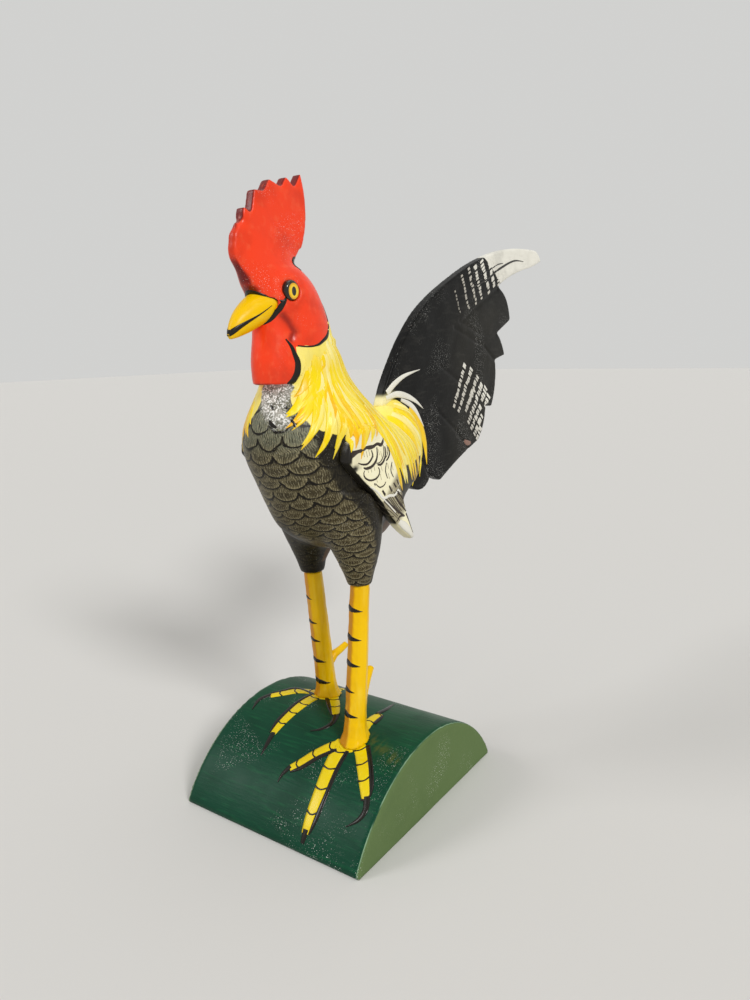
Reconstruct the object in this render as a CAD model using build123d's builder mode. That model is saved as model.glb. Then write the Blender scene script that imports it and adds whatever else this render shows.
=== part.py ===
"""Carved and painted wooden gamecock on a half-round block, as the pieces that are glued up on the bench.

Millimetres, +Z up. The origin is the middle of the block's underside. The bird faces -Y, so its left side is +X.
Outlines are drawn in the bird's side view, as (Y, height), and rounded forms are level slices stacked in Z.
"""

import os
from math import cos, radians, sin, sqrt
from typing import NamedTuple

from build123d import *



class Leg(NamedTuple):
    """Where one leg stands: its side, its X, the Y of its foot and hip, and the level where the thigh takes over."""

    name: str
    side: int
    x: float
    foot_y: float
    hip_y: float
    hip: float


# Glued joints: play round a peg, play in a slot, room past a peg's end, thickness of a glue line
PEG_FIT = 0.1
SLOT_FIT = 0.15
SOCKET_END_FIT = 0.3
GLUE_LINE = 0.1

# Half-round base block
BASE_LENGTH = 103.0
BASE_DEPTH = 120.0
BASE_HEIGHT = 38.0
BASE_LAND = 2.5
BASE_EDGE = 0.8

# Legs: whittled eight-sided sticks with a round tenon at each end
LEG_RISE = 69.0
LEFT_LEG_X = 20.5
LEFT_FOOT_Y = -18.0
LEFT_HIP_Y = -10.5
LEFT_HIP_LIFT = 3.0
RIGHT_LEG_X = -17.5
RIGHT_FOOT_Y = 9.5
RIGHT_HIP_Y = 1.5
RIGHT_HIP_LIFT = 0.0
LEG_FACETS = 8
FOOT_RADIUS = 6.4
FOOT_FLARE = 9.0
SHIN_RADIUS = 5.3
HOCK_RADIUS = 4.6
LEG_SHOULDER = 1.3
FOOT_FLOOR = 14.0
HIP_TENON = 24.0

# Spurs: blunt pegs that point back, inwards and up from each leg
SPUR_ABOVE_FOOT = 16.5
SPUR_LENGTH = 14.0
SPUR_ROOT_RADIUS = 2.9
SPUR_TIP_RADIUS = 1.9
SPUR_PEG_RADIUS = 1.5
SPUR_PEG = 3.0
SPUR_INWARD = 12.0
SPUR_LIFT = 36.0

# Body slices: height above the hip, Y of the widest point, half width, reach to the front, reach to the back
BODY_SLICES = [
    (17.0, 9.0, 11.0, 20.0, 22.0),
    (24.0, 5.0, 19.0, 31.0, 38.0),
    (35.0, 2.0, 25.0, 39.0, 54.0),
    (48.0, -1.0, 27.5, 42.0, 62.0),
    (61.0, -6.0, 28.5, 43.5, 62.0),
    (71.0, -11.0, 27.5, 40.5, 48.0),
    (80.0, -15.5, 24.0, 34.0, 38.0),
    (90.0, -19.5, 18.2, 24.8, 31.5),
    (100.0, -22.0, 15.0, 20.3, 26.0),
    (110.0, -24.0, 13.5, 18.5, 20.0),
]

# Saddle slices, as the body's: the hump in front of the tail
SADDLE_SLICES = [
    (40.0, 36.0, 14.0, 20.0, 26.0),
    (57.0, 39.0, 17.5, 20.0, 28.0),
    (69.0, 41.0, 15.5, 17.0, 23.0),
    (77.0, 42.0, 11.0, 13.0, 16.0),
    (83.0, 42.0, 5.0, 7.0, 8.0),
]

# Thigh slices: height above the hip, shift to the middle, shift to the back, half width, half depth
THIGH_SLICES = [
    (0.0, 0.0, 0.0, 6.4, 6.8),
    (6.0, 0.0, -0.5, 7.6, 9.0),
    (16.0, 0.5, -1.0, 10.0, 13.0),
    (29.0, 3.0, -1.0, 12.8, 17.5),
    (45.0, 5.5, 2.0, 14.0, 22.0),
]

# Head slices, as the body's, from the joint with the neck
HEAD_SLICES = [
    (0.0, -24.0, 13.5, 18.5, 20.0),
    (8.0, -26.0, 13.5, 20.0, 19.0),
    (18.0, -29.0, 12.5, 20.0, 18.0),
    (27.0, -31.0, 10.0, 18.0, 14.0),
    (33.0, -33.0, 5.5, 12.0, 9.0),
]
NECK_DOWEL_RADIUS = 4.0
NECK_DOWEL_UP = 15.0
NECK_DOWEL_DOWN = 22.0

# Comb: a saw-toothed board let into a slot in the crown, heights from the neck joint
COMB_THICKNESS = 5.0
COMB_FRONT_FOOT = (-50.5, 25.5)
COMB_FLOOR = [(-26.5, 27.0), (-46.0, 27.0)]
COMB_FRONT_EDGE = [(-56.3, 32.0), (-58.7, 40.5), (-57.8, 44.0)]
COMB_BACK_EDGE = [(-26.0, 35.0), (-18.7, 49.0), (-18.1, 61.0)]
COMB_VALLEYS = [(-54.0, 46.5), (-49.2, 51.5), (-41.9, 60.5), (-32.0, 63.5), (-24.3, 64.5)]
COMB_TIPS = [(-53.1, 53.5), (-47.1, 60.5), (-38.7, 65.5), (-29.0, 68.0), (-20.4, 70.5)]

# Beak slices: distance from the root, drop, half width, half height
BEAK_ROOT_Y = -42.0
BEAK_ROOT_HEIGHT = 18.4
BEAK_DROOP = 29.0
BEAK_SLICES = [
    (0.0, 0.0, 7.8, 6.7),
    (9.0, 0.0, 6.3, 6.2),
    (17.0, 0.2, 4.4, 5.0),
    (23.0, 1.0, 2.3, 2.9),
    (26.0, 1.8, 0.9, 1.1),
]
BEAK_PEG_RADIUS = 2.2
BEAK_PEG = 7.0

# Wattle slices, as the body's, from the neck joint, cut off behind a curved edge
WATTLE_SLICES = [
    (-15.0, -22.0, 14.3, 26.8, 15.0),
    (-5.0, -24.0, 14.5, 25.2, 15.0),
    (5.0, -25.5, 14.2, 21.7, 15.0),
]
WATTLE_EDGE = [(-40.0, -15.0), (-34.0, -9.0), (-36.0, 0.0), (-40.0, 5.0)]
WATTLE_FRONT = -60.0
WATTLE_PEG_RADIUS = 1.5
WATTLE_PEG_START = -48.0
WATTLE_PEG_END = -39.0
WATTLE_PEG_HEIGHT = -8.0

# Eyes: domed buttons on short stems
EYE_Y = -37.6
EYE_HEIGHT = 22.4
EYE_SEAT = 8.7
EYE_RADIUS = 4.2
EYE_THICKNESS = 2.7
EYE_DOME = 1.4
EYE_STEM_RADIUS = 1.8
EYE_STEM = 4.0

# Wings: flat boards on flats cut in the body's sides, heights from the hip
WING_INLET = 2.5
WING_THICKNESS = 5.5
WING_ROUNDING = 1.8
WING_TIP_RADIUS = 1.5
WING_FRONT = (-30.5, 62.5)
WING_LOWER_EDGE = [(-21.0, 53.5), (-8.0, 42.5), (3.0, 31.0)]
WING_TIP = (20.5, 18.0)
WING_BACK_EDGE = [(12.5, 36.5), (8.5, 49.0), (2.7, 61.3)]
WING_TOP = (-10.0, 75.0)
WING_SHOULDER = (-25.0, 73.5)
WING_PINS = [(-18.0, 62.0), (-3.0, 46.0)]
WING_PIN_RADIUS = 2.0
WING_PIN_IN_BODY = 10.0
WING_PIN_COVER = 2.0

# Tail: one board with a long sickle feather and a lobed edge, heights from the hip
TAIL_THICKNESS = 5.5
TAIL_ROOT_TOP = (34.0, 78.0)
TAIL_LEADING_EDGE = [(44.7, 96.0), (69.7, 124.0), (103.7, 143.5), (152.0, 161.5), (205.0, 170.4)]
TAIL_TIP_TOP = (224.0, 170.3)
TAIL_TIP_SHOULDER = (232.0, 168.3)
TAIL_TIP = (236.3, 164.8)
SICKLE_UNDERSIDE = [(206.0, 157.0), (183.0, 150.5)]
SICKLE_NOTCH = (168.5, 144.5)
TAIL_LOBES = [
    ((181.0, 138.0), (187.0, 124.5), (168.0, 116.3)),
    ((174.5, 110.5), (179.0, 102.5), (165.5, 99.7)),
    ((166.5, 88.0), (160.5, 70.5), (152.5, 73.0)),
    ((148.5, 58.0), (142.5, 51.0), (130.0, 47.0)),
    ((113.0, 41.0), (95.0, 33.0), (84.0, 37.0)),
]
TAIL_LAST_LOBE = [(77.0, 31.5), (64.0, 34.0)]
TAIL_ROOT_BOTTOM = (40.0, 45.0)
TONGUE_SHOULDER = 0.75
TONGUE_FRONT = 22.0
TONGUE_BACK = 62.0
TONGUE_BOTTOM = 42.0
TONGUE_TOP = 74.0
TAIL_PINS = [(32.0, 66.0), (42.0, 52.0)]
TAIL_PIN_RADIUS = 2.0

# Levels and shapes that follow from the sizes above
HIP = BASE_HEIGHT + LEG_RISE
NECK_TOP = HIP + BODY_SLICES[-1][0]
NECK_Y = BODY_SLICES[-1][1]
CROWN = BASE_HEIGHT - BASE_LAND
BASE_RADIUS = ((BASE_DEPTH / 2) ** 2 + CROWN**2) / (2 * CROWN)
BASE_CENTRE = BASE_HEIGHT - BASE_RADIUS
BODY_HALF_WIDTH = max(half_width for _, _, half_width, _, _ in BODY_SLICES)
WING_SEAT = BODY_HALF_WIDTH - WING_INLET
WING_PIN_IN_WING = WING_THICKNESS - WING_PIN_COVER - SOCKET_END_FIT
BODY_REACH = BODY_HALF_WIDTH + WING_THICKNESS
LEG_TENON_RADIUS = HOCK_RADIUS - LEG_SHOULDER
TONGUE_THICKNESS = TAIL_THICKNESS - 2 * TONGUE_SHOULDER
BEAK_DIRECTION = (0, -cos(radians(BEAK_DROOP)), -sin(radians(BEAK_DROOP)))
BEAK_SEAT = Plane((0, BEAK_ROOT_Y, NECK_TOP + BEAK_ROOT_HEIGHT), x_dir=(1, 0, 0), z_dir=BEAK_DIRECTION)
LEGS = (
    Leg("left", 1, LEFT_LEG_X, LEFT_FOOT_Y, LEFT_HIP_Y, HIP + LEFT_HIP_LIFT),
    Leg("right", -1, RIGHT_LEG_X, RIGHT_FOOT_Y, RIGHT_HIP_Y, HIP + RIGHT_HIP_LIFT),
)
FROM_BOTTOM = (Align.CENTER, Align.CENTER, Align.MIN)


def side_view(height, x=0.0):
    """The bird's side view as a drawing plane: Y to the right, Z up, its origin at this height and X."""
    return Plane((x, 0, height), x_dir=(0, 1, 0), z_dir=(1, 0, 0))


def egg(height, middle, half_width, front, back):
    """One level slice: a half ellipse to the front and another to the back, sharing the widest line."""
    with BuildSketch(Plane.XY.offset(height)) as slice_:
        with BuildLine():
            EllipticalCenterArc((0, middle), half_width, front, 180, arc_size=180)
            EllipticalCenterArc((0, middle), half_width, back, 0, arc_size=180)
        make_face()
    return slice_.sketch


def stacked(slices, level, grow=0.0):
    """Level slices to skin over; grow makes them larger all round, which leaves a glue line in a neighbour."""
    return [
        egg(level + height, middle, half_width + grow, front + grow, back + grow)
        for height, middle, half_width, front, back in slices
    ]


def thigh(leg):
    """Level slices of one thigh, from the top of the leg up into the belly."""
    slices = []
    for height, inward, backward, half_width, half_depth in THIGH_SLICES:
        with BuildSketch(Plane.XY.offset(leg.hip + height)) as slice_:
            with Locations((leg.x - leg.side * inward, leg.hip_y + backward)):
                Ellipse(half_width, half_depth)
        slices.append(slice_.sketch)
    return slices


def leg_line(leg):
    """A leg's middle line, as a plane at the foot that looks up the leg, and the leg's length."""
    foot = Vector(leg.x, leg.foot_y, BASE_CENTRE + sqrt(BASE_RADIUS**2 - leg.foot_y**2))
    hip = Vector(leg.x, leg.hip_y, leg.hip)
    return Plane(foot, x_dir=(1, 0, 0), z_dir=hip - foot), (hip - foot).length


def foot_tenon(leg):
    """How far a leg's tenon goes into the block: down to the floor of wood that is left under it."""
    line, _ = leg_line(leg)
    return (line.origin.Z - FOOT_FLOOR) / line.z_dir.Z


def spur_line(leg):
    """A spur's middle line, as a plane on the leg's middle line that looks out along the spur."""
    line, _ = leg_line(leg)
    inward = radians(SPUR_INWARD)
    lift = radians(SPUR_LIFT)
    direction = (-leg.side * sin(inward) * cos(lift), cos(inward) * cos(lift), sin(lift))
    return Plane(line.offset(SPUR_ABOVE_FOOT).origin, x_dir=(0, 0, 1), z_dir=direction)


def away_from(middle, point, distance):
    """A point of an outline, moved straight away from the outline's middle."""
    place = Vector(*point)
    return place + (place - middle).normalized() * distance


def wing_outline(x, grow=0.0):
    """The wing's outline in the side view at a given X, larger all round by grow."""
    middle = (Vector(*WING_FRONT) + Vector(*WING_TIP) + Vector(*WING_TOP)) / 3
    tip, front, top, shoulder = (
        away_from(middle, point, grow) for point in (WING_TIP, WING_FRONT, WING_TOP, WING_SHOULDER)
    )
    with BuildSketch(side_view(HIP, x)) as outline:
        with BuildLine():
            lower = Spline(front, *(away_from(middle, point, grow) for point in WING_LOWER_EDGE), tip)
            back = Spline(lower @ 1, *(away_from(middle, point, grow) for point in WING_BACK_EDGE), top)
            ThreePointArc(back @ 1, shoulder, lower @ 0)
        make_face()
        fillet(outline.vertices().group_by(Axis.Z)[0], WING_TIP_RADIUS)
    return outline.sketch


def eye_seat(side):
    """The flat that an eye sits on, looking out of the head."""
    return Plane((side * EYE_SEAT, EYE_Y, NECK_TOP + EYE_HEIGHT), x_dir=(0, 1, 0), z_dir=(side, 0, 0))


def comb_outline(grow=0.0):
    """The comb's saw-toothed outline with the foot that the crown's slot takes, larger all round by grow."""
    with BuildSketch(side_view(NECK_TOP)) as outline:
        with BuildLine():
            front = Spline(COMB_FRONT_FOOT, *COMB_FRONT_EDGE)
            corner = front @ 1
            for valley, tip in zip(COMB_VALLEYS, COMB_TIPS):
                Polyline(corner, valley, tip)
                corner = tip
            back = Spline(corner, *reversed(COMB_BACK_EDGE))
            Polyline(back @ 1, *COMB_FLOOR, COMB_FRONT_FOOT)
        make_face()
        if grow:
            offset(amount=grow)
    return outline.sketch


# Base block
with BuildPart() as base_block:
    with BuildSketch(Plane.YZ):
        with BuildLine():
            front_land = Line((-BASE_DEPTH / 2, BASE_LAND), (-BASE_DEPTH / 2, 0))
            Line(front_land @ 1, (BASE_DEPTH / 2, 0))
            back_land = Line((BASE_DEPTH / 2, 0), (BASE_DEPTH / 2, BASE_LAND))
            ThreePointArc(back_land @ 1, (0, BASE_HEIGHT), front_land @ 0)
        make_face()
    extrude(amount=BASE_LENGTH / 2, both=True)
    fillet(base_block.edges().filter_by(GeomType.CIRCLE), BASE_EDGE)
    for leg in LEGS:
        line, length = leg_line(leg)
        with Locations(line.offset(-foot_tenon(leg) - SOCKET_END_FIT)):
            Cylinder(LEG_TENON_RADIUS + PEG_FIT, length, align=FROM_BOTTOM, mode=Mode.SUBTRACT)

# Legs and spurs
legs = {}
spurs = {}
for leg in LEGS:
    line, length = leg_line(leg)
    spur_at = spur_line(leg)
    with BuildPart() as leg_stick:
        for distance, radius in (
            (-FOOT_FLARE, FOOT_RADIUS),
            (0, FOOT_RADIUS),
            (FOOT_FLARE, SHIN_RADIUS),
            (length + FOOT_FLARE, HOCK_RADIUS),
        ):
            with BuildSketch(line.offset(distance)):
                RegularPolygon(radius, LEG_FACETS)
        loft(ruled=True)
        split(bisect_by=Plane.XY.offset(leg.hip), keep=Keep.BOTTOM)
        with Locations(Location((0, 0, BASE_CENTRE), (0, 90, 0))):
            Cylinder(BASE_RADIUS + GLUE_LINE, BASE_LENGTH, mode=Mode.SUBTRACT)

    with BuildPart() as tenoned_leg:
        add(leg_stick.part)
        with Locations(line.offset(-foot_tenon(leg))):
            Cylinder(LEG_TENON_RADIUS, foot_tenon(leg) + length + HIP_TENON, align=FROM_BOTTOM)
        with Locations(spur_at.offset(SHIN_RADIUS - SPUR_PEG - SOCKET_END_FIT)):
            Cylinder(SPUR_PEG_RADIUS + PEG_FIT, SPUR_LENGTH, align=FROM_BOTTOM, mode=Mode.SUBTRACT)
    legs[leg.name] = tenoned_leg

    with BuildPart() as spur:
        with Locations(spur_at):
            Cone(SPUR_ROOT_RADIUS, SPUR_TIP_RADIUS, SHIN_RADIUS + SPUR_LENGTH, align=FROM_BOTTOM)
        add(leg_stick.part, mode=Mode.SUBTRACT)
        with Locations(spur_at.offset(SHIN_RADIUS - SPUR_PEG)):
            Cylinder(SPUR_PEG_RADIUS, SPUR_PEG + SPUR_LENGTH / 2, align=FROM_BOTTOM)
    spurs[leg.name] = spur

# Wings, their pins and what they cut out of the body
with BuildPart() as wing_seat:
    extrude(wing_outline(WING_SEAT, SLOT_FIT), BODY_REACH)
    with BuildSketch(side_view(HIP, WING_SEAT - WING_PIN_IN_BODY - SOCKET_END_FIT)):
        with Locations(*WING_PINS):
            Circle(WING_PIN_RADIUS + PEG_FIT)
    extrude(amount=WING_PIN_IN_BODY + WING_THICKNESS)

with BuildPart() as left_wing:
    extrude(wing_outline(WING_SEAT), WING_THICKNESS)
    fillet(left_wing.faces().sort_by(Axis.X)[-1].edges(), WING_ROUNDING)
    with BuildSketch(side_view(HIP, WING_SEAT)):
        with Locations(*WING_PINS):
            Circle(WING_PIN_RADIUS + PEG_FIT)
    extrude(amount=WING_PIN_IN_WING + SOCKET_END_FIT, mode=Mode.SUBTRACT)

with BuildPart() as left_wing_pins:
    with BuildSketch(side_view(HIP, WING_SEAT - WING_PIN_IN_BODY)):
        with Locations(*WING_PINS):
            Circle(WING_PIN_RADIUS)
    extrude(amount=WING_PIN_IN_BODY + WING_PIN_IN_WING)

with BuildPart() as right_wing:
    mirror(left_wing.part, about=Plane.YZ)

with BuildPart() as right_wing_pins:
    mirror(left_wing_pins.part, about=Plane.YZ)

# Body: breast, back, neck and thighs carved from one block
with BuildPart() as body_blank:
    for slices in (BODY_SLICES, SADDLE_SLICES):
        loft(sections=stacked(slices, HIP))
    for leg in LEGS:
        loft(sections=thigh(leg))

with BuildPart() as body:
    add(body_blank.part)
    for leg in LEGS:
        line, length = leg_line(leg)
        socket = length / 2 + HIP_TENON + SOCKET_END_FIT
        with Locations(line.offset(length / 2)):
            Cylinder(LEG_TENON_RADIUS + PEG_FIT, socket, align=FROM_BOTTOM, mode=Mode.SUBTRACT)
    with Locations((0, NECK_Y, NECK_TOP - NECK_DOWEL_DOWN - SOCKET_END_FIT)):
        Cylinder(NECK_DOWEL_RADIUS + PEG_FIT, NECK_DOWEL_DOWN * 2, align=FROM_BOTTOM, mode=Mode.SUBTRACT)
    add(wing_seat.part, mode=Mode.SUBTRACT)
    mirror(wing_seat.part, about=Plane.YZ, mode=Mode.SUBTRACT)
    with BuildSketch(side_view(HIP)):
        with BuildLine():
            Polyline(
                (TAIL_TIP[0], TONGUE_BOTTOM - SLOT_FIT),
                (TONGUE_FRONT - SLOT_FIT, TONGUE_BOTTOM - SLOT_FIT),
                (TONGUE_FRONT - SLOT_FIT, TONGUE_TOP + SLOT_FIT),
                (TAIL_TIP[0], TONGUE_TOP + SLOT_FIT),
                close=True,
            )
        make_face()
    extrude(amount=TONGUE_THICKNESS / 2 + SLOT_FIT, both=True, mode=Mode.SUBTRACT)
    with BuildSketch(side_view(HIP)):
        with Locations(*TAIL_PINS):
            Circle(TAIL_PIN_RADIUS + PEG_FIT)
    extrude(amount=BODY_REACH, both=True, mode=Mode.SUBTRACT)
    with Locations(Location((0, WATTLE_FRONT, NECK_TOP + WATTLE_PEG_HEIGHT), (-90, 0, 0))):
        Cylinder(
            WATTLE_PEG_RADIUS + PEG_FIT,
            WATTLE_PEG_END + SOCKET_END_FIT - WATTLE_FRONT,
            align=FROM_BOTTOM,
            mode=Mode.SUBTRACT,
        )

# Tail board, trimmed to the body's back, with a tongue for the body's slot
with BuildPart() as tail:
    with BuildSketch(side_view(HIP)):
        with BuildLine():
            leading = Spline(TAIL_ROOT_TOP, *TAIL_LEADING_EDGE, TAIL_TIP_TOP)
            ThreePointArc(leading @ 1, TAIL_TIP_SHOULDER, TAIL_TIP)
            Spline(TAIL_TIP, *SICKLE_UNDERSIDE, SICKLE_NOTCH)
            notch = SICKLE_NOTCH
            for shoulder, tip, next_notch in TAIL_LOBES:
                Spline(notch, shoulder, tip)
                Line(tip, next_notch)
                notch = next_notch
            Spline(notch, *TAIL_LAST_LOBE)
            Polyline(TAIL_LAST_LOBE[-1], TAIL_ROOT_BOTTOM, TAIL_ROOT_TOP)
        make_face()
    extrude(amount=TAIL_THICKNESS / 2, both=True)
    for slices in (BODY_SLICES, SADDLE_SLICES):
        loft(sections=stacked(slices, HIP, GLUE_LINE), mode=Mode.SUBTRACT)
    with Locations((0, TONGUE_FRONT, HIP + TONGUE_BOTTOM)):
        Box(
            TONGUE_THICKNESS,
            TONGUE_BACK - TONGUE_FRONT,
            TONGUE_TOP - TONGUE_BOTTOM,
            align=(Align.CENTER, Align.MIN, Align.MIN),
        )
    with BuildSketch(side_view(HIP)):
        with Locations(*TAIL_PINS):
            Circle(TAIL_PIN_RADIUS + PEG_FIT)
    extrude(amount=TAIL_THICKNESS, both=True, mode=Mode.SUBTRACT)

with BuildPart() as tail_pins:
    with BuildSketch(side_view(HIP)):
        with Locations(*TAIL_PINS):
            Circle(TAIL_PIN_RADIUS)
    extrude(amount=BODY_REACH, both=True)
    add(body_blank.part, mode=Mode.INTERSECT)

# Head with its dowel
with BuildPart() as head:
    loft(sections=stacked(HEAD_SLICES, NECK_TOP))
    with Locations((0, NECK_Y, NECK_TOP)):
        Cylinder(
            NECK_DOWEL_RADIUS + PEG_FIT,
            NECK_DOWEL_UP + SOCKET_END_FIT,
            align=FROM_BOTTOM,
            mode=Mode.SUBTRACT,
        )
    with BuildSketch(BEAK_SEAT):
        Ellipse(BEAK_SLICES[0][2] + PEG_FIT, BEAK_SLICES[0][3] + PEG_FIT)
    extrude(amount=BEAK_SLICES[-1][0], mode=Mode.SUBTRACT)
    with Locations(BEAK_SEAT.offset(-BEAK_PEG - SOCKET_END_FIT)):
        Cylinder(BEAK_PEG_RADIUS + PEG_FIT, BEAK_PEG * 2, align=FROM_BOTTOM, mode=Mode.SUBTRACT)
    for side in (1, -1):
        with Locations(eye_seat(side)):
            Cylinder(EYE_RADIUS + PEG_FIT, BODY_REACH, align=FROM_BOTTOM, mode=Mode.SUBTRACT)
        with Locations(eye_seat(side).offset(-EYE_STEM - SOCKET_END_FIT)):
            Cylinder(EYE_STEM_RADIUS + PEG_FIT, EYE_STEM * 2, align=FROM_BOTTOM, mode=Mode.SUBTRACT)
    extrude(comb_outline(SLOT_FIT), COMB_THICKNESS / 2 + SLOT_FIT, both=True, mode=Mode.SUBTRACT)

with BuildPart() as neck_dowel:
    with Locations((0, NECK_Y, NECK_TOP - NECK_DOWEL_DOWN)):
        Cylinder(NECK_DOWEL_RADIUS, NECK_DOWEL_DOWN + NECK_DOWEL_UP, align=FROM_BOTTOM)

with BuildPart() as comb:
    extrude(comb_outline(), COMB_THICKNESS / 2, both=True)

with BuildPart() as beak:
    for distance, drop, half_width, half_height in BEAK_SLICES:
        with BuildSketch(BEAK_SEAT.offset(distance)):
            with Locations((0, -drop)):
                Ellipse(half_width, half_height)
    loft()
    with Locations(BEAK_SEAT.offset(-BEAK_PEG)):
        Cylinder(BEAK_PEG_RADIUS, BEAK_PEG * 2, align=FROM_BOTTOM)

with BuildPart() as wattle:
    loft(sections=stacked(WATTLE_SLICES, NECK_TOP))
    with BuildSketch(side_view(NECK_TOP)):
        with BuildLine():
            edge = Spline(*WATTLE_EDGE)
            Polyline(edge @ 1, (WATTLE_FRONT, WATTLE_EDGE[-1][1]), (WATTLE_FRONT, WATTLE_EDGE[0][1]), edge @ 0)
        make_face()
    extrude(amount=BODY_REACH, both=True, mode=Mode.INTERSECT)
    loft(sections=stacked(BODY_SLICES, HIP, GLUE_LINE), mode=Mode.SUBTRACT)
    loft(sections=stacked(HEAD_SLICES, NECK_TOP, GLUE_LINE), mode=Mode.SUBTRACT)
    with Locations(Location((0, WATTLE_PEG_START, NECK_TOP + WATTLE_PEG_HEIGHT), (-90, 0, 0))):
        Cylinder(WATTLE_PEG_RADIUS, WATTLE_PEG_END - WATTLE_PEG_START, align=FROM_BOTTOM)

eyes = {}
for name, side in (("left", 1), ("right", -1)):
    with BuildPart() as eye:
        with Locations(eye_seat(side)):
            Cylinder(EYE_RADIUS, EYE_THICKNESS, align=FROM_BOTTOM)
        fillet(eye.edges().sort_by(Axis.X)[-1 if side > 0 else 0], EYE_DOME)
        with Locations(eye_seat(side).offset(-EYE_STEM)):
            Cylinder(EYE_STEM_RADIUS, EYE_STEM + EYE_THICKNESS / 2, align=FROM_BOTTOM)
    eyes[name] = eye

os.makedirs("parts", exist_ok=True)
PIECES = {
    "base_block": base_block,
    "body": body,
    "head": head,
    "neck_dowel": neck_dowel,
    "comb": comb,
    "beak": beak,
    "wattle": wattle,
    "left_eye": eyes["left"],
    "right_eye": eyes["right"],
    "left_wing": left_wing,
    "right_wing": right_wing,
    "left_wing_pins": left_wing_pins,
    "right_wing_pins": right_wing_pins,
    "tail": tail,
    "tail_pins": tail_pins,
    "left_leg": legs["left"],
    "right_leg": legs["right"],
    "left_spur": spurs["left"],
    "right_spur": spurs["right"],
}
for name, piece in PIECES.items():
    piece.part.label = name
    export_step(piece.part, f"parts/{name}.step")
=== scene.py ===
"""The painted looks of a carved wooden gamecock, laid out as a Blender add-on and run as a script."""
import math
import random
from contextlib import contextmanager

import bmesh
import bpy
import numpy as np
from mathutils import Matrix, Vector
from mathutils.bvhtree import BVHTree


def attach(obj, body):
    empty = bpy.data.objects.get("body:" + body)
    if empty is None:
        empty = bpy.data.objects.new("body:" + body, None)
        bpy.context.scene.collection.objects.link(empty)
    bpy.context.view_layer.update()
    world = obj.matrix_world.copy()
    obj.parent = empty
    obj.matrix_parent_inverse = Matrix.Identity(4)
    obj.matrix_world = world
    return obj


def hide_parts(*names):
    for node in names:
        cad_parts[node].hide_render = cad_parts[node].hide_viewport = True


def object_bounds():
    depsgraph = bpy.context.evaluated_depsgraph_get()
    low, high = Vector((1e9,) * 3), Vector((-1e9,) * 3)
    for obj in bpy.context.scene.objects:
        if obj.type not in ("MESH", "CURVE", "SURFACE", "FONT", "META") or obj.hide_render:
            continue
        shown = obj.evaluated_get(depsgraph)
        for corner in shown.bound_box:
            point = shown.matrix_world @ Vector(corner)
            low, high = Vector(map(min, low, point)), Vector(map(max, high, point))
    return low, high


bl_info = {
    "name": "Painted gamecock",
    "version": (1, 0, 0),
    "blender": (4, 5, 0),
    "location": "View3D > Sidebar > Gamecock",
    "description": "Carves and paints the pieces of a wooden gamecock around its packed solids",
    "category": "Object",
}

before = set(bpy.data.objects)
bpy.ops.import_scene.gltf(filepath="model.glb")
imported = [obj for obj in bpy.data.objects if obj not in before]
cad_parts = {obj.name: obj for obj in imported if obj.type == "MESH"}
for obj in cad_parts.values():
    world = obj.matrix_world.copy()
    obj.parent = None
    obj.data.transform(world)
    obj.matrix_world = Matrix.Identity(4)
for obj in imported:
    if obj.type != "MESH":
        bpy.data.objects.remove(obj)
CAD_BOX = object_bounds()
MM = 0.001
SEED = 7
# The bird's left and right, as the sign of X there
SIDES = (1, -1)
# The way to the picture's right, in plan
PICTURE_RIGHT = Vector((0.82, 0.57))


def paint(code):
    """A colour chip in hex, as the linear colour that Blender keeps."""
    parts = [int(code[k : k + 2], 16) / 255 for k in (0, 2, 4)]
    return tuple(c / 12.92 if c <= 0.04045 else ((c + 0.055) / 1.055) ** 2.4 for c in parts)


def colour(label, code, note):
    """A colour property."""
    return bpy.props.FloatVectorProperty(
        name=label, description=note, default=paint(code), size=3, subtype="COLOR", min=0, max=1
    )


def length(label, millimetres, note):
    """A length property, held in metres."""
    return bpy.props.FloatProperty(
        name=label, description=note, default=millimetres * MM, unit="LENGTH", min=0
    )


class PaintBox(bpy.types.PropertyGroup):
    """The colours that the bird is painted with."""

    comb_red: colour("Comb red", "fb4118", "Face, comb and wattle")
    # Painted shade, partly the comb's own dark red, where the head is marked shade; also the darker clouds of
    # the red
    comb_shade: colour("Comb shade", "740e08", "Saw-cut edges of the comb and creases of the face")
    comb_light: colour("Comb light", "fa6a40", "Dry-brushed lights on the red")
    yolk: colour("Yolk yellow", "fac800", "Legs, beak and toes")
    yolk_shade: colour("Yolk shade", "cf8a00", "Shaded side of the legs")
    hackle_deep: colour("Hackle deep", "f9b800", "Deepest hackle strokes")
    hackle_mid: colour("Hackle middle", "ffe200", "Most hackle and saddle strokes")
    hackle_pale: colour("Hackle pale", "fff5a8", "Pale hackle strokes and the neck's ground")
    breast: colour("Breast grey", "48432f", "Ground of the breast feathers")
    breast_light: colour("Breast light", "948a68", "Light ends of the breast feathers")
    breast_dark: colour("Breast dark", "362f22", "Hatching on the breast feathers")
    outline: colour("Outline", "17130d", "Feather outlines and other black lines")
    # Dark paint, and painted shade under the wings and on the far thigh
    dark_paint_and_shade: colour("Underwing", "1b1812", "Plain dark paint under the wings and behind the thighs")
    rump: colour("Rump", "5a3b17", "Thin brown paint under the tail and between the thighs")
    throat: colour("Throat", "b2aea4", "Silvery patch below the wattle")
    wing: colour("Wing cream", "fdf6d0", "Ground of the wings")
    wing_shade: colour("Wing shade", "a39a7c", "Shading on the wings")
    quill: colour("Quill brown", "4a4233", "Stripes of the flight feathers")
    tail: colour("Tail black", "0a0a09", "Tail board")
    # Lighter grey on the lower tail
    tail_lower_grey: colour("Tail bloom", "292720", "Bloomed paint on the lower tail")
    white: colour("White", "eeebdf", "Bars of the tail and the white strokes")
    green: colour("Block green", "0c4629", "Rounded top of the block")
    green_light: colour("Block light green", "1f6a40", "Thin paint on the block")
    green_end: colour("Block end", "607548", "Sawn ends of the block")
    dowel: colour("Dowel", "c7a06a", "Bare wood of the hidden dowels")


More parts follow.
